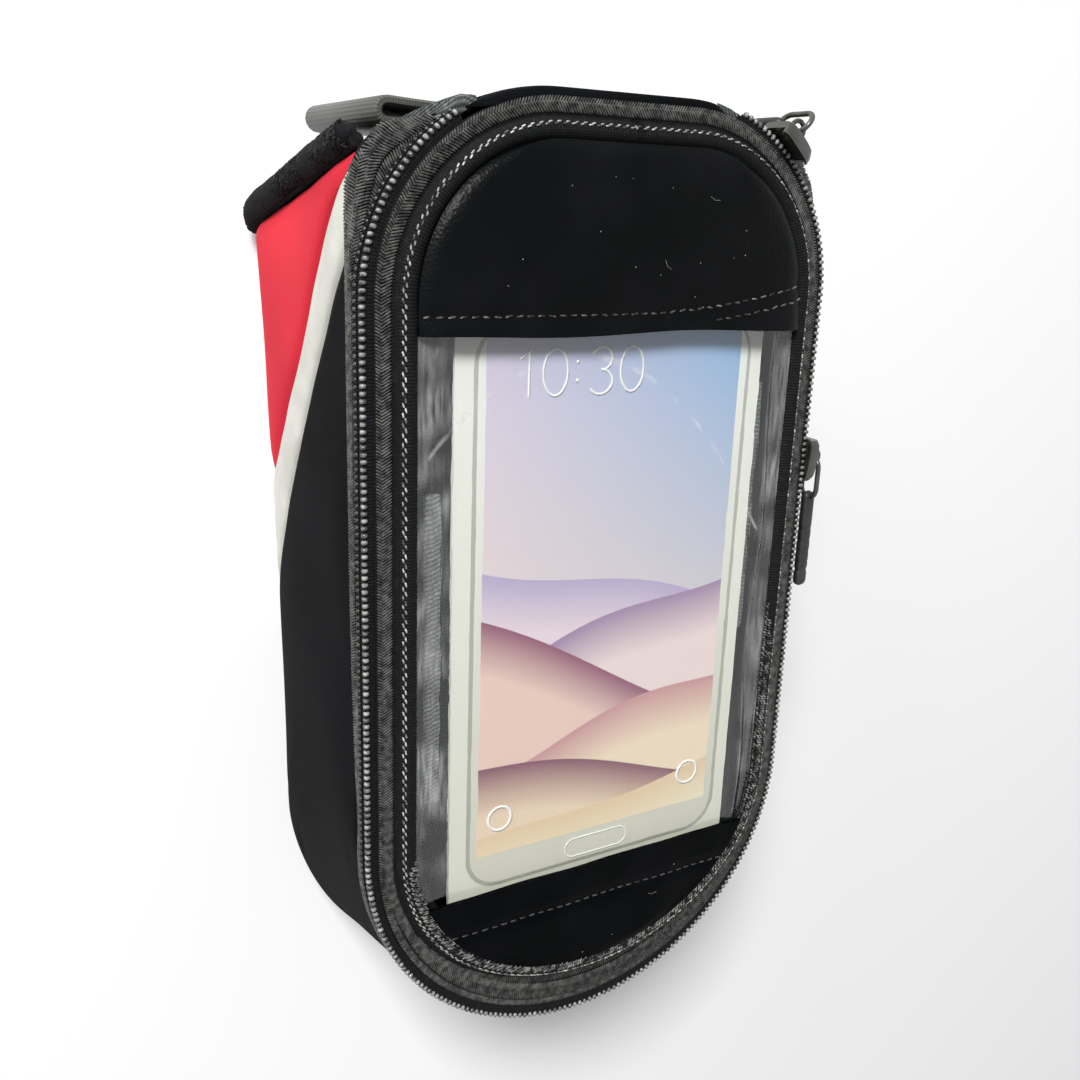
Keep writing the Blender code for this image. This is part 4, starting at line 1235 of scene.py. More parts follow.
@dataclass
class EndAndBase:
    """The panel at the hinge end and the base panel, both padded, and the piping round them."""

    puff_cap: float = 1.4 * MM
    columns: int = 44
    flat_rows: int = 20
    edge_rows: int = 5
    base_rings: int = 14

    def build_end(self, padding: Padding) -> bpy.types.Object:
        """The end panel between the two corner seams."""
        first = RING_STEPS - CORNER_SEAM + 0.16
        last = RING_STEPS + CORNER_SEAM - 0.16
        steps = RUNS.even(first, last, 2.4 * MM)
        shares = [row / self.flat_rows for row in range(self.flat_rows + 1)]
        shares += [1 + (row + 1) / self.edge_rows for row in range(self.edge_rows)]
        outer = [[wall_surface(step, share, 0) for step in steps] for share in shares]
        inner = [[wall_surface(step, share, SIZES.wall) for step in steps] for share in shares]
        places = [[(point.x, point.z) for point in row] for row in outer]
        panel = slab("end_cloth", outer, inner, places)
        rows, columns = len(outer), len(steps)
        total = rows * columns
        sewn = set(range(total, 2 * total)) | set(range(columns)) | set(range(total - columns, total))
        sewn.update(row * columns for row in range(rows))
        sewn.update(row * columns + columns - 1 for row in range(rows))
        padding.puff(panel, sorted(sewn), self.puff_cap)
        return soften(panel)

    def build_base(self, padding: Padding) -> bpy.types.Object:
        """The base panel: rings of points that shrink to its middle, closed as a flat pillow."""
        inset = SIZES.edge_round + SIZES.gap
        steps = RUNS.even(0, RING_STEPS, 3.0 * MM)[:-1]
        count = len(steps)
        sides: list[Grid] = []
        for height in (0.0, SIZES.wall):
            rim = [wall_point_at(step, inset, height) for step in steps]
            middle = sum(rim, Vector()) / count
            shrink = [1 - ring / self.base_rings for ring in range(self.base_rings)]
            sides.append([[middle + (point - middle) * share for point in rim] for share in shrink])
        points, faces = [], []
        for grid in sides:
            for ring in grid:
                points += [to_world(point) for point in ring]
            points.append(to_world(sum(grid[-1], Vector()) / count))
        block = self.base_rings * count + 1
        for side in (0, 1):
            for ring in range(self.base_rings - 1):
                for index in range(count):
                    after = (index + 1) % count
                    low, high = side * block + ring * count, side * block + (ring + 1) * count
                    faces.append([low + index, low + after, high + after, high + index])
            last = side * block + (self.base_rings - 1) * count
            faces += [[last + index, last + (index + 1) % count, side * block + block - 1] for index in range(count)]
        faces += [[index, (index + 1) % count, block + (index + 1) % count, block + index] for index in range(count)]
        panel = new_mesh("base_pad", points, faces, [(point.x, point.y) for point in points])
        sewn = set(range(count)) | set(range(block, 2 * block))
        for ring in (self.base_rings // 3, 2 * self.base_rings // 3):
            sewn.update(range(ring * count, (ring + 1) * count))
        below = [vertex.co.z for vertex in panel.data.vertices]
        padding.puff(panel, sorted(sewn), self.puff_cap * 0.5)
        for vertex, height in zip(panel.data.vertices, below):
            vertex.co.z = max(vertex.co.z, height)
        return panel

    def piping_path(self, off: float) -> list[Vector]:
        """A path off the seams: down the right corner, across the lower edge and up the left corner."""
        reach = SIZES.edge_round + off
        turns = [math.pi / 4 * index / 4 for index in range(5)]
        left, right = CORNER_SEAM, RING_STEPS - CORNER_SEAM

        def edge(step: float, angle: float) -> Vector:
            """A point off the wall's lower edge."""
            return wall_point_at(
                step, SIZES.edge_round - reach * math.cos(angle), SIZES.edge_round - reach * math.sin(angle)
            )

        start_w = SIZES.wall_top - SIZES.piping
        legs = []
        for corner in (right, left):
            foot = edge(corner, 0)
            top = box_point(corner, -off, start_w)
            leg = [top.lerp(foot, index / 30) for index in range(31)]
            legs.append(leg + [edge(corner, angle) for angle in turns[1:]])
        across = [edge(step, math.pi / 4) for step in RUNS.even(right, RING_STEPS + left, 2 * MM)[1:-1]]
        return legs[0] + across + legs[1][::-1]

    def dress(self, padding: Padding, rows: Rows) -> None:
        """Build the panels and the piping."""
        end = settle(self.build_end(padding), CLOTH_BLACK, Body.BAG, ["end_panel"])
        base = settle(self.build_base(padding), CLOTH_BLACK, Body.BAG, ["base_panel"])
        path = self.piping_path(SIZES.piping + SIZES.gap)

        def radius(share: float) -> float:
            """Uneven thickness of the roll, closed at its ends."""
            end = min(share, 1 - share) / 0.012
            close = math.sqrt(max(0.04, 1 - max(0.0, 1 - end) ** 2))
            return SIZES.piping * close * (1 + 0.05 * math.sin(share * 43) + 0.03 * math.sin(share * 119))

        roll = tube("piping_cord", path, radius, 16, closed=False)
        flange = tube("piping_flange", self.piping_path(0.9 * MM), lambda _: 1.3 * MM, 10, closed=False)
        roll = join("piping_roll", [roll, flange])
        settle(roll, PIPING, Body.BAG, ["end_piping"])
        middle = Vector((0, SIZES.box_head_v - 8 * MM, -30 * MM))
        ridges = []
        for turn in (-60, -25, 10, 45, 80):
            ridge = []
            for before, point, after in zip(path, path[1:], path[2:]):
                heading = (after - before).normalized()
                outwards = (point - middle).normalized()
                side = Matrix.Rotation(math.radians(turn), 3, heading) @ outwards
                ridge.append((point + side * SIZES.piping * 0.97, side))
            ridges.append(ridge)
        wound = rows.lay("piping_threads", Item.BAR, ridges, 0.75 * MM, FUZZ, 0.3 * MM, 0.9, 0.9, 5)
        settle(wound, FUZZ, Body.BAG)


@dataclass
class Zip:
    """The zip's two tapes, two rows of teeth, end tabs and the cloth hinge."""

    pitch: float = 1.3 * MM
    row_gap: float = 1.95 * MM
    yarn_pitch: float = 0.56 * MM
    yarn_slant: float = 1.05
    groove: float = 1.5 * MM

    def lid_tape(self, step: float, share: float, lift: float) -> Vector:
        """A point of the lid's tape: share 0 at the coil, 1 under the binding."""
        outer, inner = SIZES.coil_depth + 0.1 * MM, SIZES.binding_inset + 0.3 * MM
        low, high = -3.1 * MM, -1.0 * MM
        crest = 0.62
        if share < crest:
            swell = 0.5 * MM * math.sin(math.pi * share / crest)
        else:
            swell = -0.55 * MM * math.sin(math.pi * (share - crest) / (1 - crest))
        return lid_point(step, outer + (inner - outer) * share, low + (high - low) * share + swell + lift)

    def box_tape(self, step: float, share: float, lift: float) -> Vector:
        """A point of the box's tape: share 0 at the coil, 1 at the wall's top edge."""
        high = lid_point(step, SIZES.wall_inset, -7.2 * MM)
        low = box_point(step, -0.2 * MM, SIZES.wall_top + 0.1 * MM)
        point = high.lerp(low, share)
        away = (low - high).cross(self.heading(step)).normalized()
        swell = min(0.9 * MM, 0.12 * (low - high).length) * math.sin(math.pi * share)
        return point + away * (swell + lift)

    @staticmethod
    def heading(step: float) -> Vector:
        """The zip's direction at a step count."""
        return (lid_point(step + 0.02, 0, 0) - lid_point(step - 0.02, 0, 0)).normalized()

    def tape_rows(
        self, surface: Callable[[float, float, float], Vector], steps: Sequence[float], margin: float, spare: float
    ) -> list[list[tuple[Vector, Vector]]]:
        """Lines of (point, outward direction) over a tape of changing width, up to a spare edge."""
        lines: list[list[tuple[Vector, Vector]]] = []
        widths = [(surface(step, 1, 0) - surface(step, 0, 0)).length for step in steps]
        row = 0
        while margin + row * self.row_gap < max(widths) - spare:
            distance = margin + row * self.row_gap
            line: list[tuple[Vector, Vector]] = []
            for step, width in zip(steps, widths):
                if width - spare < distance - self.row_gap + 0.3 * MM:
                    if len(line) > 2:
                        lines.append(line)
                    line = []
                    continue
                share = min(distance, width - spare) / width
                point = surface(step, share, 0.08 * MM)
                away = surface(step, share, 1 * MM) - surface(step, share, 0)
                line.append((point, away))
            if len(line) > 2:
                lines.append(line)
            row += 1
        return lines

    def teeth(self, name: str, rows: Rows, low: float, high: float, phase: float, finish: Finish) -> bpy.types.Object:
        """One row of teeth over its core."""
        first, last = RUNS.run(ZIP_LEFT) + phase, RUNS.run(ZIP_RIGHT)
        steps = RUNS.even(RUNS.step(first), RUNS.step(last), 1.2 * MM)
        middle = (low + high) / 2
        bead_rise = 0.62 * MM if finish is COIL else 0.0
        path = []
        for step in steps:
            outwards = lid_point(step, 0, 0) - lid_point(step, 1 * MM, 0)
            path.append((lid_point(step, 0.1 * MM, middle + bead_rise), outwards))
        chain = rows.lay(name + "_chain", Item.TOOTH, [path], self.pitch, finish, uneven=0.03, seed=4)
        trim = 0.25 * MM
        rings = []
        for step in RUNS.even(ZIP_LEFT, ZIP_RIGHT, 2.5 * MM):
            corners = ((-0.15 * MM, low + trim), (SIZES.coil_depth, low + trim))
            corners += ((SIZES.coil_depth, high - trim), (-0.15 * MM, high - trim))
            rings.append([lid_point(step, inset, w) for inset, w in corners])
        core = sweep(name + "_core", rings, closed=False)
        core.data.materials.append(BINDING.material())
        return join(name, [chain, core])

    def build_tape(
        self, name: str, surface: Callable[[float, float, float], Vector], steps: Sequence[float], closed: bool
    ) -> bpy.types.Object:
        """A tape as a thin curved band."""
        shares = [index / 6 for index in range(7)]
        rings = []
        for step in steps:
            top = [surface(step, share, 0) for share in shares]
            under = [surface(step, share, -0.8 * MM) for share in reversed(shares)]
            rings.append(top + under)
        return sweep(name, rings, closed)

    def dress(self, rows: Rows) -> None:
        """Build both tapes with their raised weave, the teeth, tabs and hinge cloth."""
        around = RUNS.even(0, RING_STEPS, 2.0 * MM)[:-1]
        run = RUNS.even(ZIP_LEFT, ZIP_RIGHT, 2.0 * MM)
        lid_band = self.build_tape("lid_tape_band", self.lid_tape, around, True)
        lid_band = settle(lid_band, TAPE, Body.LID, ["lid_zip_tape"])
        box_band = settle(self.build_tape("box_tape_band", self.box_tape, run, False), TAPE, Body.BAG, ["box_zip_tape"])
        LOG.info("tapes %s and %s", lid_band.name, box_band.name)
        lid_lines = self.tape_rows(self.lid_tape, RUNS.even(0, RING_STEPS, 1.5 * MM), 1.1 * MM, self.groove + 0.9 * MM)
        box_lines = self.tape_rows(self.box_tape, RUNS.even(ZIP_LEFT, ZIP_RIGHT, 1.5 * MM), 1.3 * MM, 1.3 * MM)
        for body, name, lines, seed in ((Body.LID, "lid", lid_lines, 7), (Body.BAG, "box", box_lines, 9)):
            for sign, hand in ((1, "rising"), (-1, "falling")):
                chosen = lines[(1 - sign) // 2 :: 2]
                slant = self.yarn_slant * sign
                weave = rows.lay(
                    f"{name}_tape_weave_{hand}", Item.YARN, chosen, self.yarn_pitch, TAPE_YARN, 0, slant, 0.06, seed
                )
                settle(weave, TAPE_YARN, body)
        # The box's teeth take the darker copy of the coil's finish: painted shade.
        box_teeth = self.teeth("box_teeth", rows, -7.15 * MM, -5.15 * MM, 0.0, COIL_SHADED)
        settle(box_teeth, COIL_SHADED, Body.BAG, ["box_coil"])
        lid_teeth = self.teeth("lid_teeth", rows, -4.85 * MM, -2.85 * MM, self.pitch / 2, COIL)
        settle(lid_teeth, COIL, Body.LID, ["lid_coil"])
        self.dress_ends()
        self.dress_hinge()

    def dress_ends(self) -> None:
        """The folded tape ends beside the hinge."""
        ends = (("left", ZIP_LEFT - 0.72, ZIP_LEFT - 0.02), ("right", ZIP_RIGHT + 0.02, ZIP_RIGHT + 0.72))
        for hand, first, last in ends:
            rings = []
            steps = RUNS.even(first, last, 0.8 * MM)
            for number, step in enumerate(steps):
                share = number / (len(steps) - 1)
                plump = 0.7 * MM if hand == "left" else 0.1 * MM
                puff = plump * math.sin(math.pi * share) + wrinkle(lid_point(step, 0, 0), 2 * MM, 0.5 * MM, 4.0)
                outer = [box_point(step, -puff, -8.7 * MM), lid_point(step, -0.6 * MM - puff, -7.4 * MM)]
                outer.append(lid_point(step, -0.7 * MM - puff, -5.6 * MM))
                inner = [lid_point(step, 1.6 * MM, -5.4 * MM), lid_point(step, 1.8 * MM, -7.4 * MM)]
                inner.append(box_point(step, 2.4 * MM, -8.7 * MM))
                rings.append(outer + inner)
            tab = soften(sweep(f"folded_end_{hand}", rings, closed=False))
            settle(tab, TAB, Body.BAG, [f"zip_end_tab_{hand}"])

    def dress_hinge(self) -> None:
        """The hinge cloth, which bends from the box's edge to the lid's."""
        steps = RUNS.even(ZIP_RIGHT + 0.76, RING_STEPS + ZIP_LEFT - 0.76, 2.0 * MM)
        rings = []
        for step in steps:
            foot = box_point(step, -0.1 * MM, -8.9 * MM)
            knee = lid_point(step, 0.2 * MM, -7.0 * MM)
            top = lid_point(step, 0.3 * MM, -3.2 * MM)
            over = lid_point(step, 1.9 * MM, -2.4 * MM)
            outer = [foot, foot.lerp(knee, 0.5), knee, knee.lerp(top, 0.33), knee.lerp(top, 0.67), top, over]
            shift = lid_point(step, 1.0 * MM, 0) - lid_point(step, 0, 0)
            inner = [point + shift for point in reversed(outer)]
            rings.append(outer + inner)
        cloth = soften(sweep("hinge_cloth", rings, closed=False))
        cloth.data.materials.append(CLOTH_BLACK.material())
        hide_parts("hinge_band")
        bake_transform(cloth)
        LOG.info("%s bends from bag to lid", cloth.name)


@dataclass
class LidFrame:
    """The lid's padded rim and the binding with its stitches."""

    thread_share: float = 0.2

    def rim_profile(self, step: float) -> list[Vector]:
        """The rim's section: rounded above, clear of the end panel below."""
        foot = 6.5 * MM + SIZES.rake * 6.9 * MM + 0.4 * MM
        outer, inner = SIZES.rim_inset, SIZES.rim_inset + 6.1 * MM
        low, high = -11.9 * MM, -1.4 * MM
        soft = 0.35 * MM * math.sin(RUNS.run(step) / (9 * MM))
        return [
            lid_point(step, outer + 0.6 * MM, low, foot),
            lid_point(step, inner - 0.6 * MM, low, foot),
            lid_point(step, inner, low + 0.8 * MM, foot * 0.85),
            lid_point(step, inner + soft * 0.4, (low + high) / 2, foot * 0.4),
            lid_point(step, inner, high - 0.8 * MM, 0.0),
            lid_point(step, inner - 0.7 * MM, high, 0.0),
            lid_point(step, outer + 1.5 * MM, high, 0.0),
            lid_point(step, outer + 0.2 * MM, high - 1.5 * MM, foot / 2),
            lid_point(step, outer, low + 3 * MM, foot * 0.8),
            lid_point(step, outer, low + 0.8 * MM, foot),
        ]

    def binding_point(self, step: float, share: float, lift: float) -> Vector:
        """A point of the binding's crown: share 0 outside, 1 inside."""
        width = 3.3 * MM
        rise = 1.3 * MM * math.sin(math.pi * (0.08 + 0.84 * share))
        return lid_point(step, SIZES.binding_inset + 0.1 * MM + width * share, -0.9 * MM + rise + lift)

    def dress(self, rows: Rows) -> None:
        """Build the rim, the binding and its raised threads."""
        around = RUNS.even(0, RING_STEPS, 2.5 * MM)[:-1]
        rim = soften(sweep("rim_pad", [self.rim_profile(step) for step in around], closed=True))
        settle(rim, CLOTH_LINING, Body.LID, ["lid_rim"])
        rings = []
        shares = [index / 6 for index in range(7)]
        for step in RUNS.even(0, RING_STEPS, 2.0 * MM)[:-1]:
            top = [self.binding_point(step, share, 0) for share in shares]
            under = [lid_point(step, SIZES.binding_inset + inset, -1.1 * MM) for inset in (3.2 * MM, 0.2 * MM)]
            rings.append(top + under)
        settle(sweep("binding_band", rings, closed=True), BINDING, Body.LID, ["lid_binding"])
        line = []
        for step in RUNS.even(0, RING_STEPS, 1.5 * MM):
            point = self.binding_point(step, self.thread_share, 0.06 * MM)
            outwards = point - self.binding_point(step, 0.5, -1 * MM)
            line.append((point, outwards))
        threads = rows.lay("binding_threads", Item.BAR, [line], 0.86 * MM, GLINTING_YARN, 0.27 * MM, 0.3, 0.12, 11)
        settle(threads, GLINTING_YARN, Body.LID)
        ridges = []
        for share in (0.55, 0.72, 0.9):
            ridge = []
            for step in RUNS.even(SIDE_END + 1.0 - share, RING_STEPS - SIDE_END + 1.0 + share, 1.5 * MM):
                point = self.binding_point(step, share, 0.05 * MM)
                ridge.append((point, point - self.binding_point(step, share, -1 * MM)))
            ridges.append(ridge)
        fuzz = rows.lay("binding_fuzz", Item.BAR, ridges, 0.6 * MM, BINDING_FUZZ, 0.12 * MM, 1.0, 0.3, 13)
        settle(fuzz, BINDING_FUZZ, Body.LID)


@dataclass
class Window:
    """The clear sheet, the leatherette panel above it, the band below it, and lint on them."""

    inset: float = SIZES.panel_inset
    hem_v: float = 53.7 * MM
    foot_v: float = -57.2 * MM

    def half_span(self, v: float) -> float:
        """Half of the panel's width at v."""
        if v > 59.5 * MM:
            low, high = 0.0, float(CORNER_END)
        elif v < -45.5 * MM:
            low, high = float(SIDE_END), float(HALF_STEPS)
        else:
            return SIZES.half_width - self.inset
        for _ in range(30):
            middle = (low + high) / 2
            above = lid_point(middle, self.inset, 0).y > v
            low, high = (middle, high) if above else (low, middle)
        return -lid_point((low + high) / 2, self.inset, 0).x

    def panel(
        self,
        name: str,
        v_from: Callable[[float], float],
        v_to: float,
        surface: Callable[[float, float, float], float],
        thickness: float,
        rows: int,
        columns: int,
    ) -> bpy.types.Object:
        """A panel of the lid whose sides follow the outline.

        Args:
            name: The object's name.
            v_from: The lower edge's v at a share of the width from -1 to 1.
            v_to: The upper edge's v.
            surface: Height w at (u, v, nearness to the edge in metres).
            thickness: The panel's thickness.
            rows: Rows of faces.
            columns: Columns of faces.

        Returns:
            The panel.
        """
        outer: Grid = []
        for row in range(rows + 1):
            share = row / rows
            share = math.sin(share * math.pi / 2) if v_to > 80 * MM else share
            line = []
            for column in range(columns + 1):
                across = math.sin((column / columns - 0.5) * math.pi)
                foot = v_from(across)
                v = foot + (v_to - foot) * share
                u = across * self.half_span(v)
                line.append(Vector((u, v, surface(u, v, self.half_span(v) - abs(u)))))
            outer.append(line)
        inner = [[point - Vector((0, 0, thickness)) for point in line] for line in outer]
        return slab(name, outer, inner)

    def flap_height(self, u: float, v: float, edge: float) -> float:
        """The leatherette panel's crown: it rolls down to the binding and lifts at its right hem."""
        top = SIZES.half_length - self.inset - v
        near = min(edge, max(0.0, top * 0.9), v - self.hem_v + 7 * MM)
        crown = 1.3 * MM * (1 - math.exp(-near / (1.7 * MM))) + 0.9 * MM * (1 - math.exp(-near / (9 * MM)))
        hem = math.exp(-(((v - self.hem_line(u)) / (1.3 * MM)) ** 2))
        lift = 0.8 * MM * max(0.0, (u - 18 * MM) / (25 * MM)) * math.exp(-max(0.0, v - self.hem_v) / (5 * MM))
        wave = wrinkle(Vector((u, v, 0)), 17 * MM, 0.5 * MM, 2.0)
        return 0.1 * MM + crown - 0.35 * MM * hem + lift + wave * min(1.0, near / (5 * MM))

    @staticmethod
    def hem_line(u: float) -> float:
        """v of the hem's stitches, which rise to the right."""
        return 57.2 * MM + 4.6 * MM * max(0.0, (u - 2 * MM) / (38 * MM)) ** 1.7

    def hem_edge(self, across: float) -> float:
        """v of the hem's folded edge."""
        return self.hem_v + 0.35 * MM * math.sin(across * 5)

    def band_height(self, u: float, v: float, edge: float) -> float:
        """The lower band: flat, with a crease that is stitched across it."""
        crease = math.exp(-(((v + 65.5 * MM) / (1.0 * MM)) ** 2))
        wave = wrinkle(Vector((u, v, 0)), 11 * MM, 0.4 * MM, 5.0)
        return 0.65 * MM - 0.3 * MM * crease + wave * min(1.0, max(0.0, edge) / (4 * MM))

    def film_height(self, u: float, v: float, edge: float) -> float:
        """The clear sheet: slow waves, and sharp folds near its left edge."""
        slow = wrinkle(Vector((u * 1.6, v * 0.45, 0)), 12 * MM, 0.28 * MM, 1.0)
        left = math.exp(-(((u + 38.0 * MM + 1.2 * MM * math.sin(v / (13 * MM))) / (0.9 * MM)) ** 2))
        second = math.exp(-(((u + 34.6 * MM - 0.03 * v) / (0.7 * MM)) ** 2))
        right = math.exp(-(((u - 36.6 * MM - 0.8 * MM * math.sin(v / (9 * MM))) / (0.8 * MM)) ** 2))
        fade = min(1.0, max(0.0, 0.45 + v / (60 * MM)))
        return -0.75 * MM + slow + 0.6 * MM * left * fade + 0.45 * MM * second * fade + 0.5 * MM * right

    def dress(self, rows: Rows) -> None:
        """Build the sheet, the two panels, their stitches and the lint."""
        head = SIZES.half_length - self.inset - 0.05 * MM
        tip = -SIZES.half_length + self.inset + SIZES.nose_widen
        flap = self.panel("flap_skin", self.hem_edge, head, self.flap_height, 1.0 * MM, 44, 60)
        settle(flap, VINYL, Body.LID, ["top_flap"])
        tucked = 3 * MM
        film = self.panel(
            "clear_sheet", lambda _: self.foot_v - tucked, self.hem_v + tucked, self.film_height, 0.35 * MM, 90, 110
        )
        settle(film, FILM, Body.LID, ["window_film"])
        band = self.panel("band_skin", lambda _: tip + 0.2 * MM, self.foot_v, self.band_height, 0.8 * MM, 24, 56)
        settle(band, BAND_VINYL, Body.LID, ["bottom_band"])
        hems = []
        for line_v, first, last in ((0.0, -40 * MM, 39 * MM), (-2.6 * MM, 20 * MM, 40 * MM)):
            line = []
            for index in range(61):
                u = first + (last - first) * index / 60
                v = self.hem_line(u) + line_v
                edge = self.half_span(v) - abs(u)
                line.append((Vector((u, v, self.flap_height(u, v, edge) + 0.08 * MM)), Vector((0, 0, 1))))
            hems.append(line)
        crease = []
        for index in range(61):
            u = -33 * MM + 66 * MM * index / 60
            height = self.band_height(u, -65.5 * MM, 5 * MM) + 0.06 * MM
            crease.append((Vector((u, -65.5 * MM, height)), Vector((0, 0, 1))))
        stitches = rows.lay("hem_stitches", Item.STITCH, hems, 2.1 * MM, STITCH, uneven=0.25, seed=3)
        settle(stitches, STITCH, Body.LID)
        self.dress_lint()
        thread = Yarn("dark_band_thread", 0.5, "#1a1b1d", "#4a4b4c")
        seam = rows.lay("band_stitches", Item.STITCH, [crease], 2.2 * MM, thread, uneven=0.1, seed=6)
        settle(seam, STITCH, Body.LID)


    def dress_lint(self) -> None:
        """Dust and a few short fibres that lie on the two vinyl panels."""
        chance = random.Random(17)
        bits = []
        for number in range(20):
            fibre = number % 9 == 0
            upper = number % 5 != 0
            v = chance.uniform(60, 82) * MM if upper else chance.uniform(-79, -60) * MM
            u = chance.uniform(-0.8, 0.8) * min(self.half_span(v), 34 * MM)
            turn, length = chance.uniform(0, math.pi), (2.2 if fibre else 0.22) * MM
            edge = self.half_span(v) - abs(u)
            height = self.flap_height(u, v, edge) if upper else self.band_height(u, v, edge)
            points = []
            for part in (-0.5, 0.0, 0.5):
                bow = (0.3 * MM if fibre else 0.0) * (0.25 - part * part) * 4
                across = part * length
                along_u = across * math.cos(turn) - bow * math.sin(turn)
                along_v = across * math.sin(turn) + bow * math.cos(turn)
                points.append(Vector((u + along_u, v + along_v, height + 0.1 * MM)))
            thickness = 0.05 * MM if fibre else chance.uniform(0.05, 0.11) * MM
            bits.append(tube(f"lint_{number}", points, lambda _, wide=thickness: wide, 5, closed=False))
        settle(join("vinyl_lint", bits), LINT, Body.LID)


@dataclass
class DisplayCard:
    """The white card with its printed picture of a phone."""

    top_w: float = -2.2 * MM
    left: float = -33.5 * MM
    right: float = 34.8 * MM
    foot: float = -60.0 * MM
    head: float = 56.5 * MM

    @staticmethod
    def rounded(low: tuple[float, float], high: tuple[float, float], radius: float, steps: int = 8) -> Profile:
        """A rectangle with round corners."""
        loop = []
        for corner, (u, v) in enumerate(((high[0], high[1]), (low[0], high[1]), (low[0], low[1]), (high[0], low[1]))):
            centre_u = u - radius if u == high[0] else u + radius
            centre_v = v - radius if v == high[1] else v + radius
            for step in range(steps + 1):
                angle = math.pi / 2 * (corner + step / steps)
                loop.append((centre_u + radius * math.cos(angle), centre_v + radius * math.sin(angle)))
        return loop

    def stroke(
        self, name: str, path: Sequence[tuple[float, float]], width: float, closed: bool = False
    ) -> bpy.types.Object:
        """A thin printed line along a path of (u, v)."""
        height = self.top_w + 0.2 * MM
        points = [Vector((u, v, height)) for u, v in path]
        line = tube(name, points, lambda _: width / 2, 6, closed)
        back = LID_FRAME.inverted()
        for vertex in line.data.vertices:
            local = back @ vertex.co
            local.z = height + (local.z - height) * 0.15
            vertex.co = to_world(local)
        line.data.materials.append(INK_WHITE.material())
        return line

    def arc(
        self, centre: tuple[float, float], reach: tuple[float, float], first: float, last: float, steps: int = 20
    ) -> Profile:
        """Points of an ellipse's arc, with angles in degrees."""
        loop = []
        for step in range(steps + 1):
            angle = math.radians(first + (last - first) * step / steps)
            loop.append((centre[0] + reach[0] * math.cos(angle), centre[1] + reach[1] * math.sin(angle)))
        return loop

    def clock(self) -> list[bpy.types.Object]:
        """Plain clock digits, ten thirty, in thin strokes."""
        foot, height, width = 42.4 * MM, 8.6 * MM, 0.55 * MM
        middle = foot + height / 2
        half = height / 2
        strokes = [
            ([(-20.6 * MM, foot + height * 0.8), (-18.8 * MM, foot + height), (-18.8 * MM, foot)], False),
            (self.arc((-13.3 * MM, middle), (2.6 * MM, half), 0, 342, 24), True),
            (self.arc((-3.4 * MM, foot + height * 0.75), (2.2 * MM, height * 0.25), 155, -90, 18), False),
            (self.arc((-3.6 * MM, foot + height * 0.25), (2.6 * MM, height * 0.27), 90, -150, 18), False),
            (self.arc((3.4 * MM, middle), (2.6 * MM, half), 0, 342, 24), True),
            (self.arc((-8.6 * MM, middle + 1.7 * MM), (0.14 * MM, 0.14 * MM), 0, 300, 6), True),
            (self.arc((-8.6 * MM, middle - 1.7 * MM), (0.14 * MM, 0.14 * MM), 0, 300, 6), True),
        ]
        return [self.stroke(f"clock_{number}", path, width, closed) for number, (path, closed) in enumerate(strokes)]

    def dress(self) -> None:
        """Build the card and each printed layer, a hair's breadth above the one below."""
        outline = self.rounded((self.left, self.foot), (self.right, self.head), 0.8 * MM, 3)
        settle(prism("card_sheet", outline, self.top_w - 0.8 * MM, self.top_w), CARD, Body.LID, ["display_card"])
        layer = 0.04 * MM
        body = self.rounded((-29.8 * MM, -57.6 * MM), (32.0 * MM, 56.0 * MM), 7.5 * MM)
        rim = prism("phone_print_edge", body, self.top_w + 0.01 * MM, self.top_w + layer)
        settle(rim, PHONE_EDGE, Body.LID)
        face = self.rounded((-28.9 * MM, -56.8 * MM), (31.1 * MM, 55.6 * MM), 6.8 * MM)
        body = prism("phone_print_face", face, self.top_w + layer, self.top_w + 2 * layer)
        settle(body, PHONE_BODY, Body.LID)
        screen = [(-27.4 * MM, -50.2 * MM), (29.3 * MM, -50.2 * MM), (29.3 * MM, 55.4 * MM), (-27.4 * MM, 55.4 * MM)]
        picture = prism("screen_print", screen, self.top_w + 2 * layer, self.top_w + 3 * layer)
        settle(picture, SCREEN, Body.LID)
        button = self.rounded((-6.6 * MM, -56.0 * MM), (8.6 * MM, -51.8 * MM), 2.0 * MM, 6)
        marks = self.clock()
        marks.append(self.stroke("button_ring", button, 0.35 * MM, True))
        for name, centre in (("icon_left", (-22.4 * MM, -42.3 * MM)), ("icon_right", (24.0 * MM, -42.8 * MM))):
            marks.append(self.stroke(name, self.arc(centre, (2.6 * MM, 2.6 * MM), 0, 345, 24), 0.7 * MM, True))
        settle(join("card_marks", marks), INK_WHITE, Body.LID)


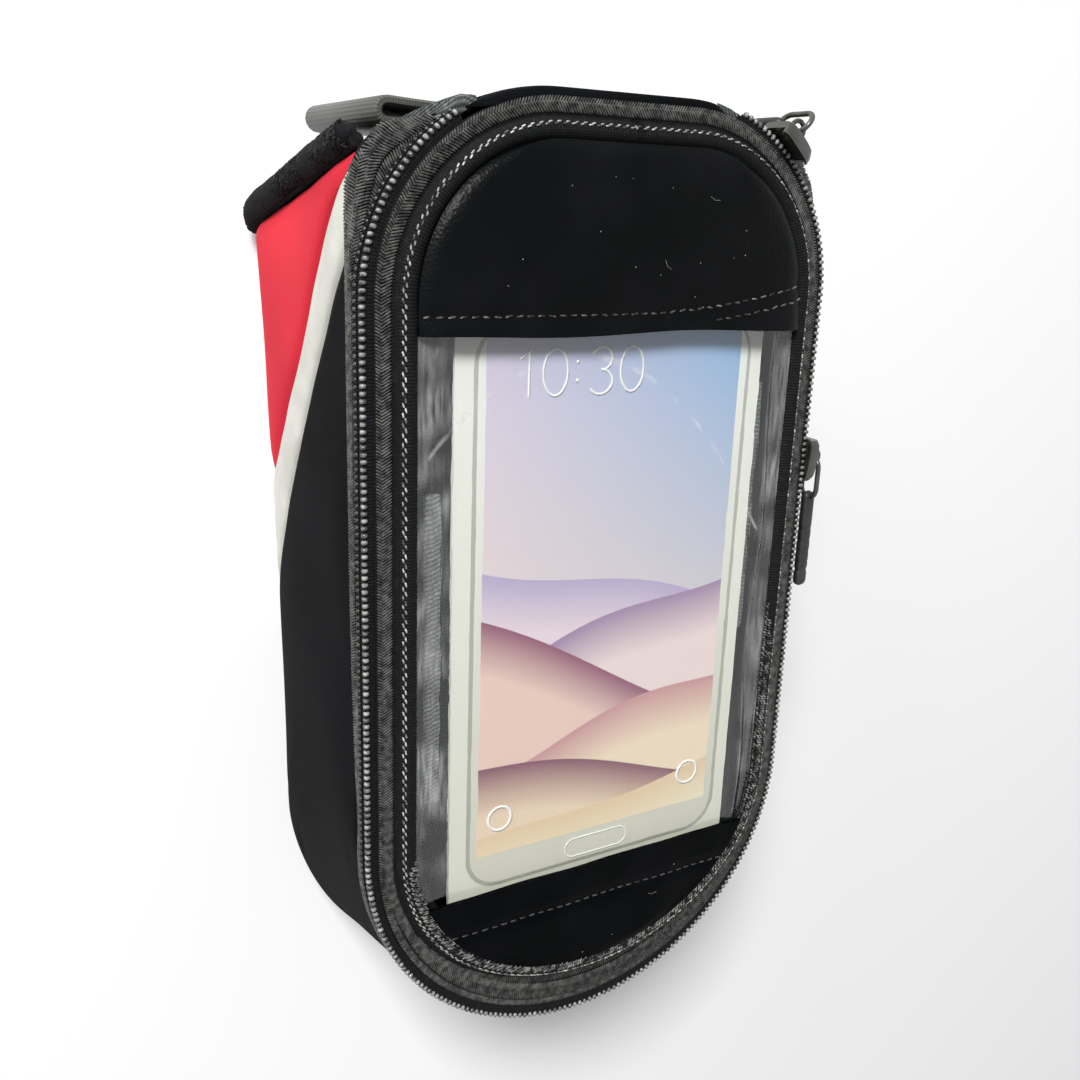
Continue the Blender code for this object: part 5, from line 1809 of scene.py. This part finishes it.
@dataclass
class Pocket:
    """The pocket behind the window: its back, its mouth's hem and the grey tapes at its sides."""

    back_w: float = -12.2 * MM
    mouth_v: float = -62.0 * MM

    def dress(self) -> None:
        """Build the lining, the hem and the side tapes."""
        window = Window(inset=SIZES.rim_inset)

        def surface(u: float, v: float, _: float) -> float:
            """The lining's slack."""
            return self.back_w + wrinkle(Vector((u, v, 0)), 20 * MM, 0.8 * MM, 9.0)

        head = SIZES.half_length - SIZES.rim_inset - 9.2 * MM
        back = window.panel("pocket_lining", lambda _: self.mouth_v, head, surface, 1.0 * MM, 40, 30)
        settle(back, CLOTH_LINING, Body.LID, ["pocket_back"])
        reach = 38.6 * MM
        low = self.back_w - 1.2 * MM
        rings = []
        for index in range(41):
            u = -reach + 2 * reach * index / 40
            dip = wrinkle(Vector((u, 0, 0)), 9 * MM, 0.2 * MM, 6.0)
            rings.append(
                [
                    Vector((u, self.mouth_v, low - 0.3 * MM + dip)),
                    Vector((u, self.mouth_v + 12 * MM, low - 0.3 * MM + dip)),
                    Vector((u, self.mouth_v + 12 * MM, low - 1.1 * MM + dip)),
                    Vector((u, self.mouth_v + 6 * MM, low - 1.3 * MM + dip)),
                    Vector((u, self.mouth_v, low - 1.1 * MM + dip)),
                ]
            )
        settle(sweep("mouth_hem_tape", rings, closed=False), BINDING, Body.LID, ["pocket_mouth_hem"])
        for hand, sign, first, last in (("left", -1, -37 * MM, 25 * MM), ("right", 1, -12 * MM, 42 * MM)):
            rings = []
            for index in range(31):
                v = first + (last - first) * index / 30
                near, far = 34.4 * MM, 38.4 * MM
                fray = wrinkle(Vector((0, v, 0)), 3 * MM, 0.6 * MM, 12.0 * sign)
                height = -5.4 * MM + wrinkle(Vector((0, v, 0)), 9 * MM, 0.5 * MM, 2.0 * sign)
                rings.append(
                    [
                        Vector((sign * (near + fray), v, height)),
                        Vector((sign * (near + far) / 2, v, height + 0.35 * MM)),
                        Vector((sign * far, v, height)),
                        Vector((sign * far, v, height - 0.8 * MM)),
                        Vector((sign * (near + fray), v, height - 0.8 * MM)),
                    ]
                )
            settle(sweep(f"pocket_tape_{hand}", rings, closed=False), GREY_TAPE, Body.LID, [f"side_tape_{hand}"])


@dataclass
class Straps:
    """The two frame straps under the base and the strap for the head tube, each closed in a loop."""

    webbing: float = 1.6 * MM

    def loop(
        self, name: str, place: Callable[[float, float, float], Vector], length: float, stack: float, width: float
    ) -> bpy.types.Object:
        """A flattened loop of webbing.

        Args:
            name: The object's name.
            place: Turns (along, out, across) into the lid's frame.
            length: The loop's length from fold to fold.
            stack: Its thickness over both layers.
            width: The webbing's width.

        Returns:
            The strap.
        """
        reach, outer = length / 2 - stack / 2, stack / 2
        path = []
        for side, start in ((1, -math.pi / 2), (-1, math.pi / 2)):
            for step in range(9):
                angle = start + math.pi * step / 8
                path.append((side * reach, math.cos(angle), math.sin(angle)))
            count = 16
            for step in range(1, count):
                share = step / count
                path.append((side * reach * (1 - 2 * share), 0.0, float(side)))
        rings = []
        half = width / 2
        inner = outer - self.webbing
        for along, cosine, sine in path:
            ring = []
            for radius, across in (
                (outer, -half + 0.5 * MM),
                (outer, half - 0.5 * MM),
                (outer - 0.4 * MM, half),
                (inner + 0.4 * MM, half),
                (inner, half - 0.5 * MM),
                (inner, -half + 0.5 * MM),
                (inner + 0.4 * MM, -half),
                (outer - 0.4 * MM, -half),
            ):
                ring.append(place(along + radius * cosine, radius * sine, across))
            rings.append(ring)
        return sweep(name, rings, closed=True)

    def dress(self, rows: Rows) -> None:
        """Build the three straps and their box stitches."""
        back = LID_FRAME.inverted()
        for hand, along in (("rear", -0.055), ("front", 0.030)):
            low, high = (Vector(corner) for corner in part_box(f"frame_strap_{hand}"))
            middle = (low + high) / 2

            def under(x: float, z: float, y: float, middle: Vector = middle) -> Vector:
                """A frame strap's point."""
                return back @ (middle + Vector((x, y, z)))

            strap = self.loop(f"frame_webbing_{hand}", under, 72 * MM, high.z - low.z, 25 * MM)
            settle(strap, WEBBING, Body.BAG, [f"frame_strap_{hand}"])
            LOG.info("frame strap at %.0f mm", along / MM)
        face = SIZES.box_head_v - SIZES.rake * 7 * MM + SIZES.gap

        def standing(x: float, out: float, across: float) -> Vector:
            """A head strap's point."""
            sag = 0.9 * MM * math.sin(x / (13 * MM)) * (1 if out > 0 else 0)
            return Vector((-4 * MM + x, face + 2.6 * MM + out + sag, -30 * MM + across))

        strap = self.loop("head_webbing", standing, 80 * MM, 5.2 * MM, 36 * MM)
        settle(strap, WEBBING, Body.BAG, ["head_strap"])
        border = []
        corners = ((-12, -20), (12, -20), (12, -40), (-12, -40))
        for first, last in zip(corners, corners[1:] + corners[:1]):
            line = []
            for index in range(9):
                u = (first[0] + (last[0] - first[0]) * index / 8) * MM
                w = (first[1] + (last[1] - first[1]) * index / 8) * MM
                sag = 0.9 * MM * math.sin((u + 4 * MM) / (13 * MM))
                line.append((Vector((u, face + 5.25 * MM + sag, w)), Vector((0, 1, 0))))
            border.append(line)
        stitches = rows.lay("strap_stitches", Item.STITCH, border, 2.2 * MM, STITCH, uneven=0.15, seed=8)
        settle(stitches, STITCH, Body.BAG)


@dataclass(frozen=True)
class Carrier:
    """A slider's place: local X is the zip's run towards the nose, Y points outwards, Z up."""

    place: tuple[float, float, float]
    heading: tuple[float, float, float]
    outwards: tuple[float, float, float]

    def matrix(self) -> Matrix:
        """The carrier's matrix in the CAD frame."""
        x, y = Vector(self.heading), Vector(self.outwards)
        turned = Matrix((x, y, x.cross(y))).transposed().to_4x4()
        return Matrix.Translation(Vector(self.place)) @ turned


@dataclass
class ZipPull:
    """A slider with its crown, wire link and moulded grip."""

    name: str
    carrier: Carrier
    pull_place: tuple[float, float, float]
    hanging: bool
    slider_body: Body
    pull_body: Body
    link_r: float = 2.25 * MM
    link_straight: float = 4.6 * MM
    wire: float = 0.55 * MM

    def moved(self, obj: bpy.types.Object, matrix: Matrix) -> bpy.types.Object:
        """Place a mesh that was built in the lid's frame at a local frame."""
        obj.data.transform(matrix @ LID_FRAME.inverted())
        return obj

    def build_slider(self) -> bpy.types.Object:
        """The slider: a waisted plate with rolled flanges and an arched crown."""
        low, high = 0.9 * MM, 2.9 * MM
        parts = []
        rings: Grid = []
        for index in range(25):
            share = index / 24
            x = (-4.5 + 9.0 * share) * MM
            shoulder = 4.3 - 1.1 * share**2 - 1.6 * max(0.0, abs(share - 0.5) * 2 - 0.8) ** 0.8
            half = shoulder * MM
            crown = high - 0.5 * MM * (2 * share - 1) ** 4
            profile = [(-half, -0.2 * MM), (-half, low)]
            profile += [(-half + 0.5 * MM, crown - 0.35 * MM), (-half + 1.1 * MM, crown)]
            profile += [(0.0, crown + 0.12 * MM)]
            profile += [(-z, y) for z, y in reversed(profile[:-1])]
            profile += [(half - 0.6 * MM, -0.2 * MM), (half - 0.7 * MM, low)]
            profile += [(-half + 0.7 * MM, low), (-half + 0.6 * MM, -0.2 * MM)]
            rings.append([Vector((x, y, z)) for z, y in profile])
        parts.append(sweep(self.name + "_plate", rings, closed=False, sharp=35))
        path = []
        for index in range(19):
            angle = math.pi * index / 18
            x = -1.75 * MM * math.cos(angle)
            y = high - 0.4 * MM + 3.6 * MM * math.sin(angle) ** 0.55
            path.append(Vector((x, min(y, high + 2.95 * MM + 0.2 * MM), 0)))
        parts.append(tube(self.name + "_arch", path, lambda _: 0.48 * MM, 8, closed=False))
        for part in parts:
            part.data.materials.append(SLIDER_PAINT.material())
        return self.moved(join(self.name + "_body", parts), self.carrier.matrix())

    def pull_matrix(self) -> Matrix:
        """The pull's own frame: along X from the wire's first bend."""
        turned = self.carrier.matrix().to_3x3().to_4x4()
        place = Matrix.Translation(Vector(self.pull_place)) @ turned
        if not self.hanging:
            return place
        hang = Matrix(((0, 0, 1, 0), (0, 1, 0, 0), (-1, 0, 0, self.link_r), (0, 0, 0, 1)))
        return place @ hang @ Matrix.Rotation(math.pi / 2, 4, "X")

    def build_pull(self) -> tuple[bpy.types.Object, bpy.types.Object]:
        """The wire link and the grip that is moulded on it."""
        reach = self.link_straight + 2 * self.link_r
        path = []
        for end, start in ((1, -math.pi / 2), (-1, math.pi / 2)):
            for step in range(13):
                angle = start + math.pi * step / 12
                x = reach / 2 + end * self.link_straight / 2 + self.link_r * math.cos(angle)
                path.append(Vector((x, 0, self.link_r * math.sin(angle))))
        link = tube(self.name + "_wire", path, lambda _: self.wire, 10, closed=True)
        link.data.materials.append(SLIDER_PAINT.material())
        rings = []
        first, last = reach - 1.5 * MM, reach + 20.5 * MM
        for index in range(67):
            share = index / 66
            x = first + (last - first) * share
            end = min(share, 1 - share) * 22 * MM
            cap = math.sqrt(max(0.02, 1 - max(0.0, 1 - end / (1.4 * MM)) ** 2))
            groove = 0.22 * MM * math.exp(-(((x - first - 18.2 * MM) / (0.45 * MM)) ** 2))
            rib = 0.12 * MM * max(0.0, math.sin((x - first) / (0.42 * MM))) * (1 if 0.3 < share < 0.75 else 0)
            half_y = 1.5 * MM * cap - groove - rib
            half_z = 1.0 * MM * cap - groove * 0.6
            ring = []
            for corner in range(12):
                angle = 2 * math.pi * corner / 12
                power = [math.copysign(abs(part) ** 0.7, part) for part in (math.cos(angle), math.sin(angle))]
                ring.append(Vector((x, half_y * power[0], half_z * power[1])))
            rings.append(ring)
        grip = sweep(self.name + "_moulding", rings, closed=False)
        matrix = self.pull_matrix()
        return self.moved(link, matrix), self.moved(grip, matrix)

    def dress(self) -> None:
        """Build the slider and its pull."""
        settle(self.build_slider(), SLIDER_PAINT, self.slider_body, [self.slider_body.value])
        link, grip = self.build_pull()
        settle(link, SLIDER_PAINT, self.pull_body, [self.pull_body.value + "_link"])
        settle(grip, GRIP, self.pull_body, [self.pull_body.value + "_grip"])


@dataclass
class Studio:
    """The camera, the lamps, the world and the floor."""

    focal: float = 37.586
    sensor: float = 36.0
    yaw: float = math.radians(30.168)
    pitch: float = math.radians(16.759)
    roll: float = math.radians(-2.053)
    camera_place: Vector = field(default_factory=lambda: Vector((-0.11772, 0.07648, 0.17418)))

    def camera_matrix(self) -> Matrix:
        """The camera's matrix, fitted to the photograph."""
        turn = Matrix.Rotation(self.roll, 3, "Z") @ Matrix.Rotation(self.pitch, 3, "X")
        turn = turn @ Matrix.Rotation(self.yaw, 3, "Y")
        local = Matrix.Translation(self.camera_place) @ turn.transposed().to_4x4()
        return LID_FRAME @ local

    def build_camera(self) -> bpy.types.Object:
        """The scene's camera."""
        data = bpy.data.cameras.new("photo_camera")
        data.lens = self.focal
        data.sensor_width = self.sensor
        data.clip_start = 0.01
        camera = bpy.data.objects.new("photo_camera", data)
        camera.matrix_world = self.camera_matrix()
        bpy.context.scene.collection.objects.link(camera)
        bpy.context.scene.camera = camera
        return camera

    def lamp(self, name: str, away: Vector, distance: float, size: float, power: float) -> None:
        """A soft square lamp, placed in the camera's own directions and aimed at the bag."""
        data = bpy.data.lights.new(name, "AREA")
        data.size = size
        data.energy = power
        lamp = bpy.data.objects.new(name, data)
        turn = self.camera_matrix().to_3x3()
        target = LID_FRAME @ Vector((0, 0, -0.02))
        place = target + (turn @ away).normalized() * distance
        lamp.matrix_world = Matrix.Translation(place) @ (place - target).to_track_quat("Z", "Y").to_matrix().to_4x4()
        bpy.context.scene.collection.objects.link(lamp)

    def build_world(self) -> None:
        """A white surround for what the camera, gloss and clear pieces see, and a dimmer one as light."""
        world = bpy.data.worlds.new("studio_surround")
        world.use_nodes = True
        tree = world.node_tree
        path = add_node(tree, "ShaderNodeLightPath")
        seen = work_out(tree, "MAXIMUM", path.outputs["Is Camera Ray"], path.outputs["Is Transmission Ray"])
        seen = work_out(tree, "MAXIMUM", seen, path.outputs["Is Glossy Ray"])
        strength = work_out(tree, "MAXIMUM", seen, 0.22)
        background = tree.nodes["Background"]
        background.inputs[0].default_value = (1, 1, 1, 1)
        tree.links.new(strength, background.inputs[1])
        bpy.context.scene.world = world

    def build_floor(self) -> None:
        """A plain pale floor that keeps the bag's shadow and stays white beyond it."""
        reach = 1.6
        corners = ((-reach, -reach), (reach, -reach), (reach, reach), (-reach, reach))
        points = [Vector((x, y, -0.0002)) for x, y in corners]
        floor = new_mesh("studio_floor", points, [(0, 1, 2, 3)], None, outwards=False)
        made = bpy.data.materials.new("pale_floor_paint")
        made.use_nodes = True
        tree = made.node_tree
        shader = tree.nodes["Principled BSDF"]
        shader.inputs["Base Color"].default_value = srgb("#dfdfdf")
        shader.inputs["Roughness"].default_value = 0.9
        shader.inputs["Specular IOR Level"].default_value = 0.0
        glow = add_node(tree, "ShaderNodeEmission", {"Color": (1, 1, 1, 1)})
        path = add_node(tree, "ShaderNodeLightPath")
        seen = work_out(tree, "MAXIMUM", path.outputs["Is Camera Ray"], path.outputs["Is Transmission Ray"])
        seen = work_out(tree, "MAXIMUM", seen, path.outputs["Is Glossy Ray"])
        strength = work_out(tree, "MULTIPLY", seen, 0.18)
        tree.links.new(strength, glow.inputs["Strength"])
        both = add_node(tree, "ShaderNodeAddShader", {0: shader.outputs[0], 1: glow.outputs[0]})
        tree.links.new(both.outputs[0], tree.nodes["Material Output"].inputs["Surface"])
        floor.data.materials.append(made)
        floor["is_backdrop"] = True

    def build(self) -> None:
        """Build the whole studio."""
        self.build_camera()
        self.build_world()
        self.build_floor()
        self.lamp("key_lamp", Vector((-0.05, 0.43, 0.9)), 1.8, 0.46, 44.0)
        self.lamp("rim_lamp", Vector((-0.55, 0.75, 0.9)), 1.1, 0.4, 3.0)
        self.lamp("side_lamp", Vector((-1.0, 0.35, 0.75)), 1.2, 0.5, 1.5)
        scene = bpy.context.scene
        scene.view_settings.view_transform = "Standard"


def main() -> None:
    """Build every piece in order."""
    logging.basicConfig(level=logging.INFO, format="%(name)s: %(message)s")
    Studio().build()
    padding = Padding()
    rows = Rows()
    SideWalls().dress(padding)
    EndAndBase().dress(padding, rows)
    Zip().dress(rows)
    LidFrame().dress(rows)
    Window().dress(rows)
    DisplayCard().dress()
    Pocket().dress()
    Straps().dress(rows)
    lower = Carrier((0.047666, 0.028993, 0.065056), (0.0, -0.997564, -0.069756), (1.0, 0.0, 0.0))
    upper = Carrier((0.034027, 0.091383, 0.071875), (0.783693, -0.619635, -0.043329), (0.621148, 0.781784, 0.054668))
    ZipPull("lower", lower, (0.051941, 0.028993, 0.065056), False, Body.LOWER_SLIDER, Body.LOWER_PULL).dress()
    ZipPull("upper", upper, (0.037816, 0.096151, 0.072208), True, Body.UPPER_SLIDER, Body.UPPER_PULL).dress()
    rows.clear()
    boxes = {"cad": CAD_BOX, "dressed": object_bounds()}
    {name: [list(corner) for corner in box] for name, box in boxes.items()}


if __name__ == "__main__":
    main()
